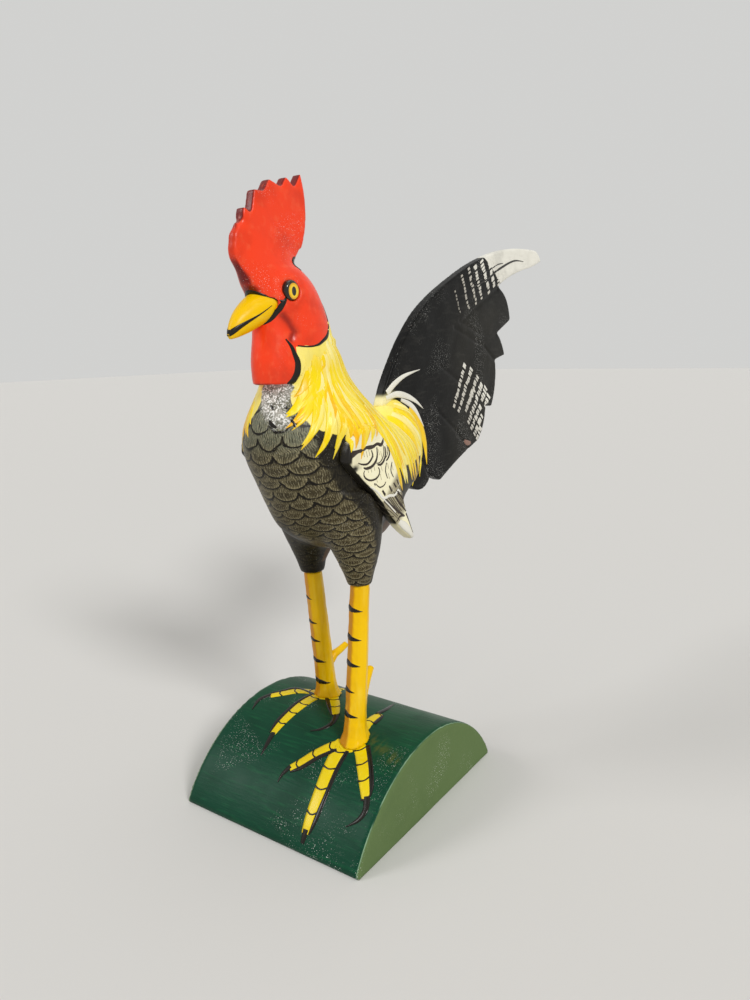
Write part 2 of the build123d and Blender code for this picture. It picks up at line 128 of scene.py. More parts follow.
class CarvingSizes(bpy.types.PropertyGroup):
    """The sizes that the carving and the brushwork follow."""

    body_voxel: length("Body voxel", 1.1, "Mesh size of the carved body")
    board_voxel: length("Board voxel", 0.8, "Mesh size of the tail")
    small_voxel: length("Small voxel", 0.55, "Mesh size of the head, wings, legs and small pieces")
    knife_marks: length("Knife marks", 0.5, "Depth of the uneven carving")
    film: length("Paint film", 0.16, "Height of a brush stroke above the wood")
    film_root: length("Paint root", 0.25, "Depth of a brush stroke's underside in the wood")
    brush_step: length("Brush step", 1.1, "Distance between the rings of a stroke")
    scale_count: bpy.props.IntProperty(
        name="Feathers round", description="Feather scales round the body", default=17, min=6
    )


# Small helpers


def box():
    """The paint box of this scene."""
    return bpy.context.scene.gamecock_paint


def sizes():
    """The carving sizes of this scene."""
    return bpy.context.scene.gamecock_sizes


def smoothstep(low, high, value):
    """0 below low, 1 above high, and a soft step between them; low may be the higher one."""
    t = np.clip((value - low) / (high - low), 0, 1)
    return t * t * (3 - 2 * t)


def between(low, high, value):
    """True where a value lies between the two."""
    return (value > low) & (value < high)


def bell(distance, reach):
    """1 at no distance, falling softly to nothing a little past the reach."""
    return np.exp(-((distance / reach) ** 2))


def read(table, at, beyond=None):
    """Read a table of (place, value) pairs, straight between them; past its ends it may have one value."""
    return np.interp(at, *zip(*table), left=beyond, right=beyond)


def places(mesh):
    """A mesh's points in millimetres, one row each."""
    co = np.empty(len(mesh.vertices) * 3, np.float32)
    mesh.vertices.foreach_get("co", co)
    return co.reshape(-1, 3).astype(float) / MM


def normals(mesh):
    """A mesh's point normals, one row each."""
    found = np.empty(len(mesh.vertices) * 3, np.float32)
    mesh.vertex_normals.foreach_get("vector", found)
    return found.reshape(-1, 3).astype(float)


def corners(mesh):
    """The point that each corner of each face uses."""
    used = np.empty(len(mesh.loops), np.int32)
    mesh.loops.foreach_get("vertex_index", used)
    return used


def move(mesh, co):
    """Put a mesh's points at these places, in millimetres."""
    mesh.vertices.foreach_set("co", (co * MM).astype(np.float32).ravel())
    mesh.update()


def mark(mesh, name, values):
    """Keep one number for each point, for the paint to read."""
    held = mesh.attributes.get(name) or mesh.attributes.new(name, "FLOAT", "POINT")
    held.data.foreach_set("value", np.asarray(values, np.float32))


def lay_map(mesh, name, flat):
    """Keep a flat place for each corner, for the paint to read."""
    mesh.uv_layers.new(name=name).uv.foreach_set("vector", flat.astype(np.float32).ravel())


def line_distance(points, line):
    """Distance of each flat point from a line of flat points."""
    best = np.full(len(points), np.inf)
    for a, b in zip(line, line[1:]):
        a = np.array(a, float)
        run = np.array(b, float) - a
        t = np.clip((points - a) @ run / (run @ run), 0, 1)
        best = np.minimum(best, np.linalg.norm(points - a - t[:, None] * run, axis=1))
    return best


def linked(name, data):
    """A new object in the scene with that mesh, lamp or camera."""
    made = bpy.data.objects.new(name, data)
    bpy.context.scene.collection.objects.link(made)
    return made


def apply_modifiers(piece):
    """Make a piece the plain mesh that its modifiers leave."""
    bpy.context.view_layer.update()
    shaped = piece.evaluated_get(bpy.context.evaluated_depsgraph_get())
    mesh = bpy.data.meshes.new_from_object(shaped)
    piece.modifiers.clear()
    piece.data = mesh


def settle(piece, material, slot, *nodes):
    """Give a finished piece its paint and its body, and hide the solids that it stands for. Its slot is not
    used.
    """
    piece.data.materials.clear()
    piece.data.materials.append(material)
    piece.data.shade_smooth()
    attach(piece, "root")
    if nodes:
        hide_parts(*nodes)
    return piece


# Carving

LOFT_SIDES = 32
LOFT_SQUARENESS = 2.4
MERGE = 0.002


@contextmanager
def editing(mesh):
    """Open a mesh for edits, and write it back."""
    work = bmesh.new()
    work.from_mesh(mesh)
    work.verts.ensure_lookup_table()
    yield work
    work.to_mesh(mesh)
    work.free()


def add_loft(work, rings):
    """Add a closed loft of rounded rings: height, X and Y of the middle, half width, front and back."""
    power = 2 / LOFT_SQUARENESS
    hoops = []
    for z, shift, middle, half_width, front, back in rings:
        hoop = []
        for k in range(LOFT_SIDES):
            turn = 2 * math.pi * k / LOFT_SIDES
            across = math.copysign(abs(math.sin(turn)) ** power, math.sin(turn))
            along = math.copysign(abs(math.cos(turn)) ** power, math.cos(turn))
            y = middle + along * (back if along > 0 else front)
            hoop.append(work.verts.new(Vector((shift + half_width * across, y, z)) * MM))
        hoops.append(hoop)
    for lower, upper in zip(hoops, hoops[1:]):
        for k in range(LOFT_SIDES):
            work.faces.new((lower[k - 1], lower[k], upper[k], upper[k - 1]))
    work.faces.new(hoops[0][::-1])
    work.faces.new(hoops[-1])
    bmesh.ops.recalc_face_normals(work, faces=work.faces)


def merged_copy(name, nodes, fillers):
    """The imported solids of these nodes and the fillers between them, as one mesh."""
    work = bmesh.new()
    for node_name in nodes:
        work.from_mesh(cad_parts[node_name].data)
    bmesh.ops.remove_doubles(work, verts=work.verts, dist=MERGE * MM)
    for rings in fillers:
        add_loft(work, rings)
    mesh = bpy.data.meshes.new(name)
    work.to_mesh(mesh)
    work.free()
    return mesh


def keep_outer_shell(mesh):
    """Delete every shell but the largest, so that no sealed hollow is left inside."""
    with editing(mesh) as work:
        seen = set()
        shells = []
        for start in work.verts:
            if start in seen:
                continue
            shell = [start]
            seen.add(start)
            for vert in shell:
                for edge in vert.link_edges:
                    other = edge.other_vert(vert)
                    if other not in seen:
                        seen.add(other)
                        shell.append(other)
            shells.append(shell)
        shells.sort(key=len)
        bmesh.ops.delete(work, geom=[v for shell in shells[:-1] for v in shell], context="VERTS")
        bmesh.ops.recalc_face_normals(work, faces=work.faces)


def carved(name, nodes, voxel, soften=6, marks=0.0, mark_size=14, fillers=()):
    """A carved piece: the solids of its nodes, remeshed, softened and marked by the knife."""
    piece = linked(name, merged_copy(name, nodes, fillers))
    remesh = piece.modifiers.new("Even mesh", "REMESH")
    remesh.mode = "VOXEL"
    remesh.voxel_size = voxel
    piece.modifiers.new("Sanding", "SMOOTH").iterations = soften
    if marks:
        grain = bpy.data.textures.new(name, "CLOUDS")
        grain.noise_scale = mark_size * MM
        uneven = piece.modifiers.new("Knife marks", "DISPLACE")
        uneven.texture = grain
        uneven.texture_coords = "LOCAL"
        uneven.strength = marks
    apply_modifiers(piece)
    keep_outer_shell(piece.data)
    return piece


def keep_inside(mesh, node_name):
    """Press a carved mesh back into the box of its solid."""
    limits = places(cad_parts[node_name].data)
    move(mesh, np.clip(places(mesh), limits.min(axis=0), limits.max(axis=0)))


def soften_where(mesh, chosen, rounds):
    """Rub down the chosen points."""
    with editing(mesh) as work:
        verts = [work.verts[int(k)] for k in np.flatnonzero(chosen)]
        axes = {"use_axis_" + axis: True for axis in "xyz"}
        for _ in range(rounds):
            bmesh.ops.smooth_vert(work, verts=verts, factor=0.5, **axes)


# Shader nodes

DUST_AND_GLINTS = (0.85, 0.85, 0.8)
# Brushwork: where its clouds, bristles and specks show, and how rough they make it
CLOUD_FADE = (0.45, 0.75)
BRISTLE_FADE = (0.5, 0.75)
SPECK_SCALE = 2600.0
SPECK_EDGE = (0.74, 0.78)
PATCH_SCALE = 40.0
PATCH_FADE = (0.5, 0.65)
GRAIN_SCALE = 700.0
CLOUD_ROUGHNESS = 0.25
BRISTLE_ROUGHNESS = 0.06
ROUGHNESS_DROP = 0.1
# Feather scales: their drift, their outlines, the fan of their barbs, and where hatching and lights break off
DRIFT_SCALE = 1.3
LINE_SCALE = 2.2
LINE_VARIES = 1.6
LINE_THINNEST = 0.2
OUTLINE_EDGE = (0.6, 1.3)
FAN_ROOT = 1.5
FAN_NARROWS = -0.22
FAN_SCALE = 3.0
FAN_WOBBLE = 0.6
HATCH_GRAIN = (9, 3, 1)
HATCH_SCALE = 1.5
HATCH_BREAKS = (0.38, 0.62)
HATCH_EDGE = (0.1, 0.3)
BARB_GRAIN = (7, 4, 1)
BARB_SCALE = 1.7
BARB_BREAKS = (0.45, 0.6)
BARB_EDGE = (0.3, 0.46)
SHADE_SCALE = 1.1
SHADE_BREAKS = (0.4, 0.7)
SHADE_FADE = (1.0, 1.45)
END_FADE = (0.45, 0.95)
# Every paint's coat and relief
COAT_ROUGHNESS = 0.12
PAINT_IOR = 1.5
BUMP_DISTANCE = 0.3


class Value:
    """One output of a node, with which sums are written as with a number."""

    def __init__(self, socket):
        self.socket = socket
        self.tree = socket.id_data

    def __add__(self, other):
        return maths("ADD", self, other)

    def __sub__(self, other):
        return maths("SUBTRACT", self, other)

    def __rsub__(self, other):
        return maths("SUBTRACT", other, self)

    def __mul__(self, other):
        return maths("MULTIPLY", self, other)

    def __truediv__(self, other):
        return maths("DIVIDE", self, other)

    def __abs__(self):
        return maths("ABSOLUTE", self)


def node(tree, kind, inputs=None, **settings):
    """A node with its settings made and its inputs linked or set."""
    made = tree.nodes.new(kind)
    for key, value in settings.items():
        setattr(made, key, value)
    for key, value in (inputs or {}).items():
        if isinstance(value, Value):
            tree.links.new(value.socket, made.inputs[key])
        else:
            made.inputs[key].default_value = value
    return made


def outputs(made):
    """All outputs of a node, by name."""
    return {socket.name: Value(socket) for socket in made.outputs}


def output(tree, kind, inputs=None, pick=0, **settings):
    """One output of a new node."""
    return Value(node(tree, kind, inputs, **settings).outputs[pick])


def maths(operation, a, b=0.0, clamp=False):
    """One sum on one or two numbers, of which at least one comes from a node."""
    tree = (a if isinstance(a, Value) else b).tree
    return output(tree, "ShaderNodeMath", {0: a, 1: b}, operation=operation, use_clamp=clamp)


def vectors(operation, a, inputs=None, pick=0):
    """One sum on a vector."""
    return output(a.tree, "ShaderNodeVectorMath", {0: a, **(inputs or {})}, pick, operation=operation)


def stretched(vector, factors):
    """A vector with each axis multiplied."""
    return vectors("MULTIPLY", vector, {1: factors})


def parts(vector):
    """The X, Y and Z of a vector, by name."""
    return outputs(node(vector.tree, "ShaderNodeSeparateXYZ", {0: vector}))


def step(at, low, high):
    """0 below low, 1 above high, softly between."""
    ends = {"Value": at, "From Min": low, "From Max": high}
    return output(at.tree, "ShaderNodeMapRange", ends, "Result", interpolation_type="SMOOTHSTEP")


def rgba(chip):
    """A colour with its alpha."""
    return chip if isinstance(chip, Value) else (*chip, 1.0)


def mix(factor, a, b):
    """Colour a, with b over it by the factor, of which at least one comes from a node."""
    tree = next(given.tree for given in (factor, a, b) if isinstance(given, Value))
    inputs = {0: factor, 6: rgba(a), 7: rgba(b)}
    return output(tree, "ShaderNodeMix", inputs, 2, data_type="RGBA", clamp_factor=True)


def mix_value(factor, a, b):
    """Number a, or b where the factor is 1."""
    return output(factor.tree, "ShaderNodeMix", {0: factor, 2: a, 3: b}, data_type="FLOAT")


def noise(vector, scale, detail=2.0, distortion=0.0, pick="Fac"):
    """Cloudy noise from 0 to 1."""
    inputs = {"Vector": vector, "Scale": scale, "Detail": detail, "Distortion": distortion}
    return output(vector.tree, "ShaderNodeTexNoise", inputs, pick)


def group(name, inputs, results, kind="ShaderNodeTree"):
    """An empty node group with its named sockets, and what is given to it, by name."""
    tree = bpy.data.node_groups.new(name, kind)
    for label, socket_kind, default in inputs:
        socket = tree.interface.new_socket(label, in_out="INPUT", socket_type="NodeSocket" + socket_kind)
        if default is not None:
            socket.default_value = default
    for label, socket_kind in results:
        tree.interface.new_socket(label, in_out="OUTPUT", socket_type="NodeSocket" + socket_kind)
    return tree, outputs(node(tree, "NodeGroupInput"))


def use(tree, name, inputs):
    """A group placed in a tree with its own values: its outputs by name."""
    return outputs(node(tree, "ShaderNodeGroup", inputs, node_tree=bpy.data.node_groups[name]))


def make_brushwork_group():
    """Brushed paint: cloudy tone, bristle streaks along one direction, and pale specks of dust and painted
    glint.
    """
    tree, given = group(
        "Brushwork",
        [
            ("Vector", "Vector", None),
            ("Colour", "Color", (0.5, 0.5, 0.5, 1)),
            ("Shade", "Color", (0.2, 0.2, 0.2, 1)),
            ("Light", "Color", (0.8, 0.8, 0.8, 1)),
            ("Bristles", "Vector", (900, 900, 90)),
            ("Clouds", "Float", 55.0),
            ("Shading", "Float", 0.4),
            ("Lighting", "Float", 0.3),
            ("Specks", "Float", 0.0),
            ("Gloss", "Float", 0.25),
        ],
        [("Colour", "Color"), ("Roughness", "Float"), ("Height", "Float")],
    )
    vector = given["Vector"]
    cloud = noise(vector, given["Clouds"], 5.0, 0.4)
    bristle = noise(stretched(vector, given["Bristles"]), 1.0, 3.0)
    tone = mix(step(cloud, *CLOUD_FADE) * given["Shading"], given["Colour"], given["Shade"])
    tone = mix(step(bristle, *BRISTLE_FADE) * given["Lighting"], tone, given["Light"])
    speck = step(noise(vector, SPECK_SCALE, 0.0), *SPECK_EDGE)
    speck = speck * step(noise(vector, PATCH_SCALE), *PATCH_FADE)
    # Pale specks: dust, and painted glints that stand in for light caught by the rough paint
    tone = mix(speck * given["Specks"], tone, DUST_AND_GLINTS)
    rough = cloud * CLOUD_ROUGHNESS + (given["Gloss"] - ROUGHNESS_DROP)
    results = {
        "Colour": tone,
        "Roughness": maths("ADD", bristle * BRISTLE_ROUGHNESS, rough, clamp=True),
        "Height": noise(vector, GRAIN_SCALE) * 0.5 + bristle,
    }
    node(tree, "NodeGroupOutput", results)


def make_scale_group():
    """Overlapping feather scales: outlines, hatching, light ends and one chance number for each feather."""
    tree, given = group(
        "Feather scales",
        [
            ("Vector", "Vector", None),
            ("Tip", "Float", 0.95),
            ("Line", "Float", 0.1),
            ("Wobble", "Float", 0.16),
            ("Barbs", "Float", 9.0),
        ],
        [(label, "Float") for label in ("Outline", "Hatch", "End", "Barb", "Shade", "Chance")],
    )
    drift = vectors("SUBTRACT", noise(given["Vector"], DRIFT_SCALE, pick="Color"), {1: (0.5, 0.5, 0.5)})
    moved = vectors("ADD", given["Vector"], {1: vectors("SCALE", drift, {"Scale": given["Wobble"]})})
    place = parts(moved)
    row = maths("FLOOR", place["Y"])
    down = maths("FRACT", place["Y"])
    # A feather hangs over the row below, where every second row is shifted by half a feather
    shift = maths("FRACT", row * 0.5)
    upper = place["X"] + (0.5 - shift)
    lower = place["X"] + shift
    upper_x = maths("FRACT", upper) - 0.5
    lower_x = maths("FRACT", lower) - 0.5
    wide = upper_x * 2.0
    reach = down / given["Tip"]
    tip = maths("SQRT", wide * wide + reach * reach)
    inside = maths("LESS_THAN", tip, 1.0)
    below = 1.0 - inside
    across = mix_value(inside, lower_x, upper_x)
    column = mix_value(inside, maths("FLOOR", lower), maths("FLOOR", upper))
    seat = output(tree, "ShaderNodeCombineXYZ", {0: column, 1: row - inside})
    chance = output(tree, "ShaderNodeTexWhiteNoise", {"Vector": seat}, "Value", noise_dimensions="2D")
    line = given["Line"] * (noise(moved, LINE_SCALE) * LINE_VARIES + LINE_THINNEST)
    outline = 1.0 - step(abs(tip - 1.0) / line, *OUTLINE_EDGE)
    spread = (down + inside) * FAN_NARROWS + FAN_ROOT
    fan = across * spread * given["Barbs"] + noise(moved, FAN_SCALE) * FAN_WOBBLE
    barb = abs(maths("FRACT", fan) - 0.5)
    broken = step(noise(stretched(moved, HATCH_GRAIN), HATCH_SCALE), *HATCH_BREAKS)
    thin = step(noise(stretched(moved, BARB_GRAIN), BARB_SCALE), *BARB_BREAKS)
    smear = step(noise(moved, SHADE_SCALE, 3.0), *SHADE_BREAKS)
    shade = step(tip, *SHADE_FADE) * below
    results = {
        "Outline": outline,
        "Hatch": (1.0 - step(barb, *HATCH_EDGE)) * broken,
        "End": step(tip, *END_FADE) * inside + shade * 0.5,
        "Barb": step(barb, *BARB_EDGE) * thin,
        "Shade": (below - shade) * smear,
        "Chance": chance,
    }
    node(tree, "NodeGroupOutput", results)


class Paint:
    """A new material: its node tree, its object coordinates and its Principled shader."""

    def __init__(self, name, gloss=0.3, coat=0.06, shine=0.28):
        self.material = bpy.data.materials.new(name)
        self.material.use_nodes = True
        self.tree = self.material.node_tree
        self.shader = self.tree.nodes["Principled BSDF"].inputs
        self.shader["Coat Weight"].default_value = coat
        self.shader["Coat Roughness"].default_value = COAT_ROUGHNESS
        self.shader["IOR"].default_value = PAINT_IOR
        self.shader["Specular IOR Level"].default_value = shine
        self.gloss = gloss
        self.vector = output(self.tree, "ShaderNodeTexCoord", pick="Object")

    def kept(self, name):
        """The number that the piece keeps under that name."""
        return output(self.tree, "ShaderNodeAttribute", pick="Fac", attribute_name=name)

    def flat(self, name):
        """The place in the piece's own map of that name."""
        return output(self.tree, "ShaderNodeUVMap", uv_map=name)

    def brush(self, tone, shade, light, **values):
        """Brushwork over a ground colour."""
        chips = {"Colour": rgba(tone), "Shade": rgba(shade), "Light": rgba(light)}
        return use(self.tree, "Brushwork", {"Vector": self.vector, "Gloss": self.gloss, **chips, **values})

    def finish(self, coat, depth, tone=None, roughness=None):
        """Link the brushwork, or what was made of its colour and roughness, and hand over the material."""
        relief = {"Strength": depth, "Distance": BUMP_DISTANCE * MM, "Height": coat["Height"]}
        links = {
            "Base Color": tone or coat["Colour"],
            "Roughness": roughness or coat["Roughness"],
            "Normal": output(self.tree, "ShaderNodeBump", relief, "Normal"),
        }
        for key, value in links.items():
            self.tree.links.new(value.socket, self.shader[key])
        return self.material


# Brush strokes in relief

STROKE_SIDES = 10
STROKE_FLATNESS = 0.02
SWELL = ((0.0, 0.3), (0.2, 0.8), (0.5, 1.0), (0.75, 0.7), (0.9, 0.36), (1.0, 0.04))
DEEPENING = 0.3
JUMP = 9.5
PLAIN_TINT = 0.5
# How far off the bird's middle a drop on it starts
SIDE_OFF = 90
FRONT_OFF = 120
BACK_OFF = 60
TOP_OFF = 300


def make_stroke_tree():
    """Geometry nodes that lay a film of paint along guide lines, on whatever surface is nearest."""
    inputs = [
        ("Guides", "Geometry", None),
        ("Surface", "Object", None),
        ("Film", "Float", None),
        ("Root", "Float", None),
        ("Step", "Float", None),
        ("Paint", "Material", None),
    ]
    tree, given = group("Brush strokes", inputs, [("Strokes", "Geometry")], "GeometryNodeTree")
    wood = output(
        tree, "GeometryNodeObjectInfo", {"Object": given["Surface"]}, "Geometry", transform_space="RELATIVE"
    )
    place = output(tree, "GeometryNodeInputPosition")

    def nearest(value):
        """What the wood has where its surface is nearest."""
        there = {"Mesh": wood, "Sample Position": place, "Value": value}
        return output(tree, "GeometryNodeSampleNearestSurface", there, "Value", data_type="FLOAT_VECTOR")

    def named(name):
        """The number that the strokes keep under that name."""
        return output(tree, "GeometryNodeInputNamedAttribute", {"Name": name}, data_type="FLOAT")

    normal = nearest(output(tree, "GeometryNodeInputNormal"))
    seat = nearest(place)
    curve = output(tree, "GeometryNodeMeshToCurve", {"Mesh": given["Guides"]})
    curve = output(tree, "GeometryNodeCurveSplineType", {"Curve": curve}, spline_type="CATMULL_ROM")
    even = {"Curve": curve, "Length": given["Step"]}
    curve = output(tree, "GeometryNodeResampleCurve", even, mode="LENGTH")
    curve = output(tree, "GeometryNodeSetCurveNormal", {"Curve": curve, "Normal": normal}, mode="FREE")
    circle = {"Resolution": STROKE_SIDES, "Radius": 1.0}
    ring = output(tree, "GeometryNodeCurvePrimitiveCircle", circle, "Curve")
    lifted = {"Geometry": ring, "Name": "lift", "Value": parts(place)["X"]}
    ring = output(tree, "GeometryNodeStoreNamedAttribute", lifted, data_type="FLOAT", domain="POINT")
    ring = output(tree, "GeometryNodeTransform", {"Geometry": ring, "Scale": (STROKE_FLATNESS, 1.0, 1.0)})
    swept = {"Curve": curve, "Profile Curve": ring, "Scale": named("half_width"), "Fill Caps": True}
    strokes = output(tree, "GeometryNodeCurveToMesh", swept)
    lift = named("lift")
    above = maths("MAXIMUM", lift, 0.0) * (given["Film"] * named("layer"))
    rise = above + maths("MINIMUM", lift, 0.0) * given["Root"]
    target = vectors("ADD", seat, {1: vectors("SCALE", normal, {"Scale": rise})})
    strokes = output(tree, "GeometryNodeSetPosition", {"Geometry": strokes, "Position": target})
    strokes = output(tree, "GeometryNodeRealizeInstances", {"Geometry": strokes})
    strokes = output(tree, "GeometryNodeSetMaterial", {"Geometry": strokes, "Material": given["Paint"]})
    node(tree, "NodeGroupOutput", {0: strokes})


def from_side(side):
    """The view of one side: where a drop at this Y and Z starts, and which way it goes."""
    return lambda y, z: ((side * SIDE_OFF, y, z), (-side, 0, 0))


def from_front(x, z):
    """The view from the front: where a drop at this X and Z starts, and which way it goes."""
    return (x, -FRONT_OFF, z), (0, 1, 0)


def from_back(x, z):
    """The view from behind: where a drop at this X and Z starts, and which way it goes."""
    return (x, BACK_OFF, z), (0, -1, 0)


def from_above(x, y):
    """The view in plan: where a drop at this X and Y starts, and which way it goes."""
    return (x, y, TOP_OFF), (0, 0, -1)


class Canvas:
    """Finished pieces joined into one surface, for as long as strokes are laid on it."""

    def __init__(self, *names):
        work = bmesh.new()
        for name in names:
            work.from_mesh(bpy.data.objects[name].data)
        mesh = bpy.data.meshes.new("surface")
        work.to_mesh(mesh)
        self.tree = BVHTree.FromBMesh(work)
        work.free()
        self.surface = linked("surface", mesh)

    def __enter__(self):
        return self

    def __exit__(self, *error):
        bpy.data.objects.remove(self.surface)

    def dropped(self, start, heading):
        """Where a straight drop from start, in millimetres, meets the surface, or None."""
        hit = self.tree.ray_cast(Vector(start) * MM, Vector(heading))[0]
        return None if hit is None else tuple(hit / MM)

    def seats(self, view, spots):
        """Where these flat places in a view lie on the surface."""
        return [self.dropped(*view(*spot)) for spot in spots]

    def drawn(self, view, lines, tint=PLAIN_TINT):
        """Strokes drawn flat in a view, as lines of (across, up, half width)."""
        made = []
        for line in lines:
            seats = self.seats(view, [spot[:2] for spot in line])
            made += landed(seats, [half_width for *_, half_width in line], tint)
        return made

    def on_both_sides(self, lines, tint=PLAIN_TINT):
        """Strokes drawn in side view as (Y, Z, half width), on the left and then on the right."""
        return [stroke for side in SIDES for stroke in self.drawn(from_side(side), lines, tint)]

    def lay(self, name, strokes, material, slot, height=1.0):
        """One piece of brush strokes, each a list of (point in millimetres, half width, tint, layer)."""
        rows, edges = [], []
        for stroke in strokes:
            edges += [(k, k + 1) for k in range(len(rows), len(rows) + len(stroke) - 1)]
            rows += stroke
        points, widths, tints, layers = zip(*rows)
        guides = bpy.data.meshes.new(name)
        guides.from_pydata([Vector(point) * MM for point in points], edges, [])
        mark(guides, "half_width", np.array(widths) * MM)
        mark(guides, "tint", tints)
        mark(guides, "layer", layers)
        piece = linked(name, guides)
        film = piece.modifiers.new("Brush strokes", "NODES")
        film.node_group = bpy.data.node_groups["Brush strokes"]
        values = {
            "Surface": self.surface,
            "Film": sizes().film * height,
            "Root": sizes().film_root,
            "Step": sizes().brush_step,
            "Paint": material,
        }
        for socket in film.node_group.interface.items_tree:
            if socket.name in values:
                film[socket.identifier] = values[socket.name]
        apply_modifiers(piece)
        return settle(piece, material, slot)


def landed(points, half_widths, tint):
    """A list with one stroke through the points that met a surface, or none where fewer than two did."""
    stroke = [(p, w, tint, 1.0) for p, w in zip(points, half_widths) if p is not None]
    return [stroke] if len(stroke) > 1 else []


def pointed(points, half_width, tint, layer):
    """A list with one stroke that swells, deepens and ends in a point, or at a jump in the surface."""
    along = np.linspace(0, 1, len(points))
    widths = half_width * read(SWELL, along)
    tints = np.clip(tint + DEEPENING * (0.5 - along), 0, 1)
    stroke = []
    for p, w, t in zip(points, widths, tints):
        if p is None:
            continue
        if stroke and math.dist(p, stroke[-1][0]) > JUMP:
            break
        stroke.append((p, w, t, layer))
    return [stroke] if len(stroke) > 1 else []


# Materials

LOW_GREEN = paint("083a2e")
WORN_HIGHLIT_GREEN = paint("8fae8a")
GREEN_SHADE = paint("07301f")
END_LIGHT = paint("6a7d52")
END_SHADE = paint("566b41")
SMEAR_OCHRE = paint("5f6128")
WARM_GREY = paint("463c24")
PATCH_GREY = paint("4c432c")
PALE_GREY = paint("858a76")
BARB_LIGHT = paint("b4aa88")
WARM_SHADE = paint("2c2410")
DULL_SILVER = paint("77766a")
SILVER_GLINT = paint("fbfaf4")
YOLK_LIGHT = paint("ffe050")
IRIS = paint("ffd21c")
IRIS_RIM = paint("e8a400")
IRIS_LIGHT = paint("fff0a0")
WING_LIGHT = paint("fdf9e6")
TAIL_LIGHT = paint("5a5852")
DOWEL_SHADE = paint("8d6a3e")
DOWEL_LIGHT = paint("e2c592")
# Edges between two grounds, and how far and how finely noise breaks them up
BROKEN_EDGE = (0.3, 0.7)
SOFT_EDGE = (0.4, 0.6)
SHARP_EDGE = (0.45, 0.55)
FRAY = 0.9
BODY_FRAY = 260.0
WING_FRAY = 220.0
NECK_CLOUDS = 60.0
GREY_SCALE = 35.0
GREY_FADE = (0.4, 0.65)
SILVER_SCALE = 420.0
GLINT_SCALE = 1300.0
GLINT_EDGE = (0.5, 0.58)
LOWER_GREY_SCALE = 45.0
STREAK_GRAIN = (300, 70, 300)
TONGUE_WHITE = 0.4
EDGE_LINE_SCALE = 60.0
EDGE_LINE_FADE = (0.3, 0.6)
SCRUB_GRAIN = (420, 140, 140)
SCRUB_FADE = (0.4, 0.65)
SAWN_ROUGHNESS = 0.35
LOW_COVER = 0.55
# Where the block's sawn end and the pale line round it, of worn paint and painted highlight, begin, in from
# the end, and its front darkens
SAWN_EDGE = (0.9, 0.5)
WORN_HIGHLIT_EDGE = (1.3, 1.0)
LOW_FRONT = (10, -40)
# The eye's middle in its button's map, and the reach of its rings
EYE_SHIFT = (-0.25, 0.35, 0)
PUPIL_SHAPE = (1.15, 0.85, 1)
PUPIL_RING = (1.45, 1.65)
IRIS_RING = (2.0, 3.3)
BLACK_RING = (3.1, 3.3)


def frayed(made, name, scale):
    """A ground that the piece keeps under a name, with its edge broken up by noise."""
    return made.kept(name) + (noise(made.vector, scale, 3.0) * FRAY + -FRAY / 2)


def neck_yellow(made):
    """The cloudy yellow under the neck's strokes."""
    return mix(noise(made.vector, NECK_CLOUDS), box().hackle_mid, box().hackle_pale)


def block_paint():
    """Glossy green over a rounded plank, thin and flat on the sawn ends."""
    chips = box()
    made = Paint("block_green_gloss", gloss=0.36, coat=0.0, shine=0.14)
    place = parts(made.vector)
    half = (CAD_BOX[1][0] - CAD_BOX[0][0]) / 2
    sawn = step(abs(place["X"]), *(half - inset * MM for inset in SAWN_EDGE))
    # A pale line along the end's edge: worn paint, and painted highlight on the rounded edge
    worn = step(abs(place["X"]), *(half - inset * MM for inset in WORN_HIGHLIT_EDGE)) - sawn
    worn = worn * step(noise(made.vector, EDGE_LINE_SCALE, 3.0), *EDGE_LINE_FADE)
    low = step(place["Y"], *(y * MM for y in LOW_FRONT)) * LOW_COVER
    tone = mix(low, chips.green, LOW_GREEN)
    tone = mix(worn, tone, WORN_HIGHLIT_GREEN)
    tone = mix(sawn, tone, chips.green_end)
    light = mix(sawn, chips.green_light, END_LIGHT)
    shade = mix(sawn, GREEN_SHADE, END_SHADE)
    coat = made.brush(tone, shade, light, Bristles=(80, 700, 700), Specks=0.9, Shading=0.45)
    scrub = noise(stretched(made.vector, SCRUB_GRAIN), 1.0, 4.0)
    tone = mix(made.kept("smear") * step(scrub, *SCRUB_FADE), coat["Colour"], SMEAR_OCHRE)
    return made.finish(coat, 0.35, tone, sawn * SAWN_ROUGHNESS + coat["Roughness"])


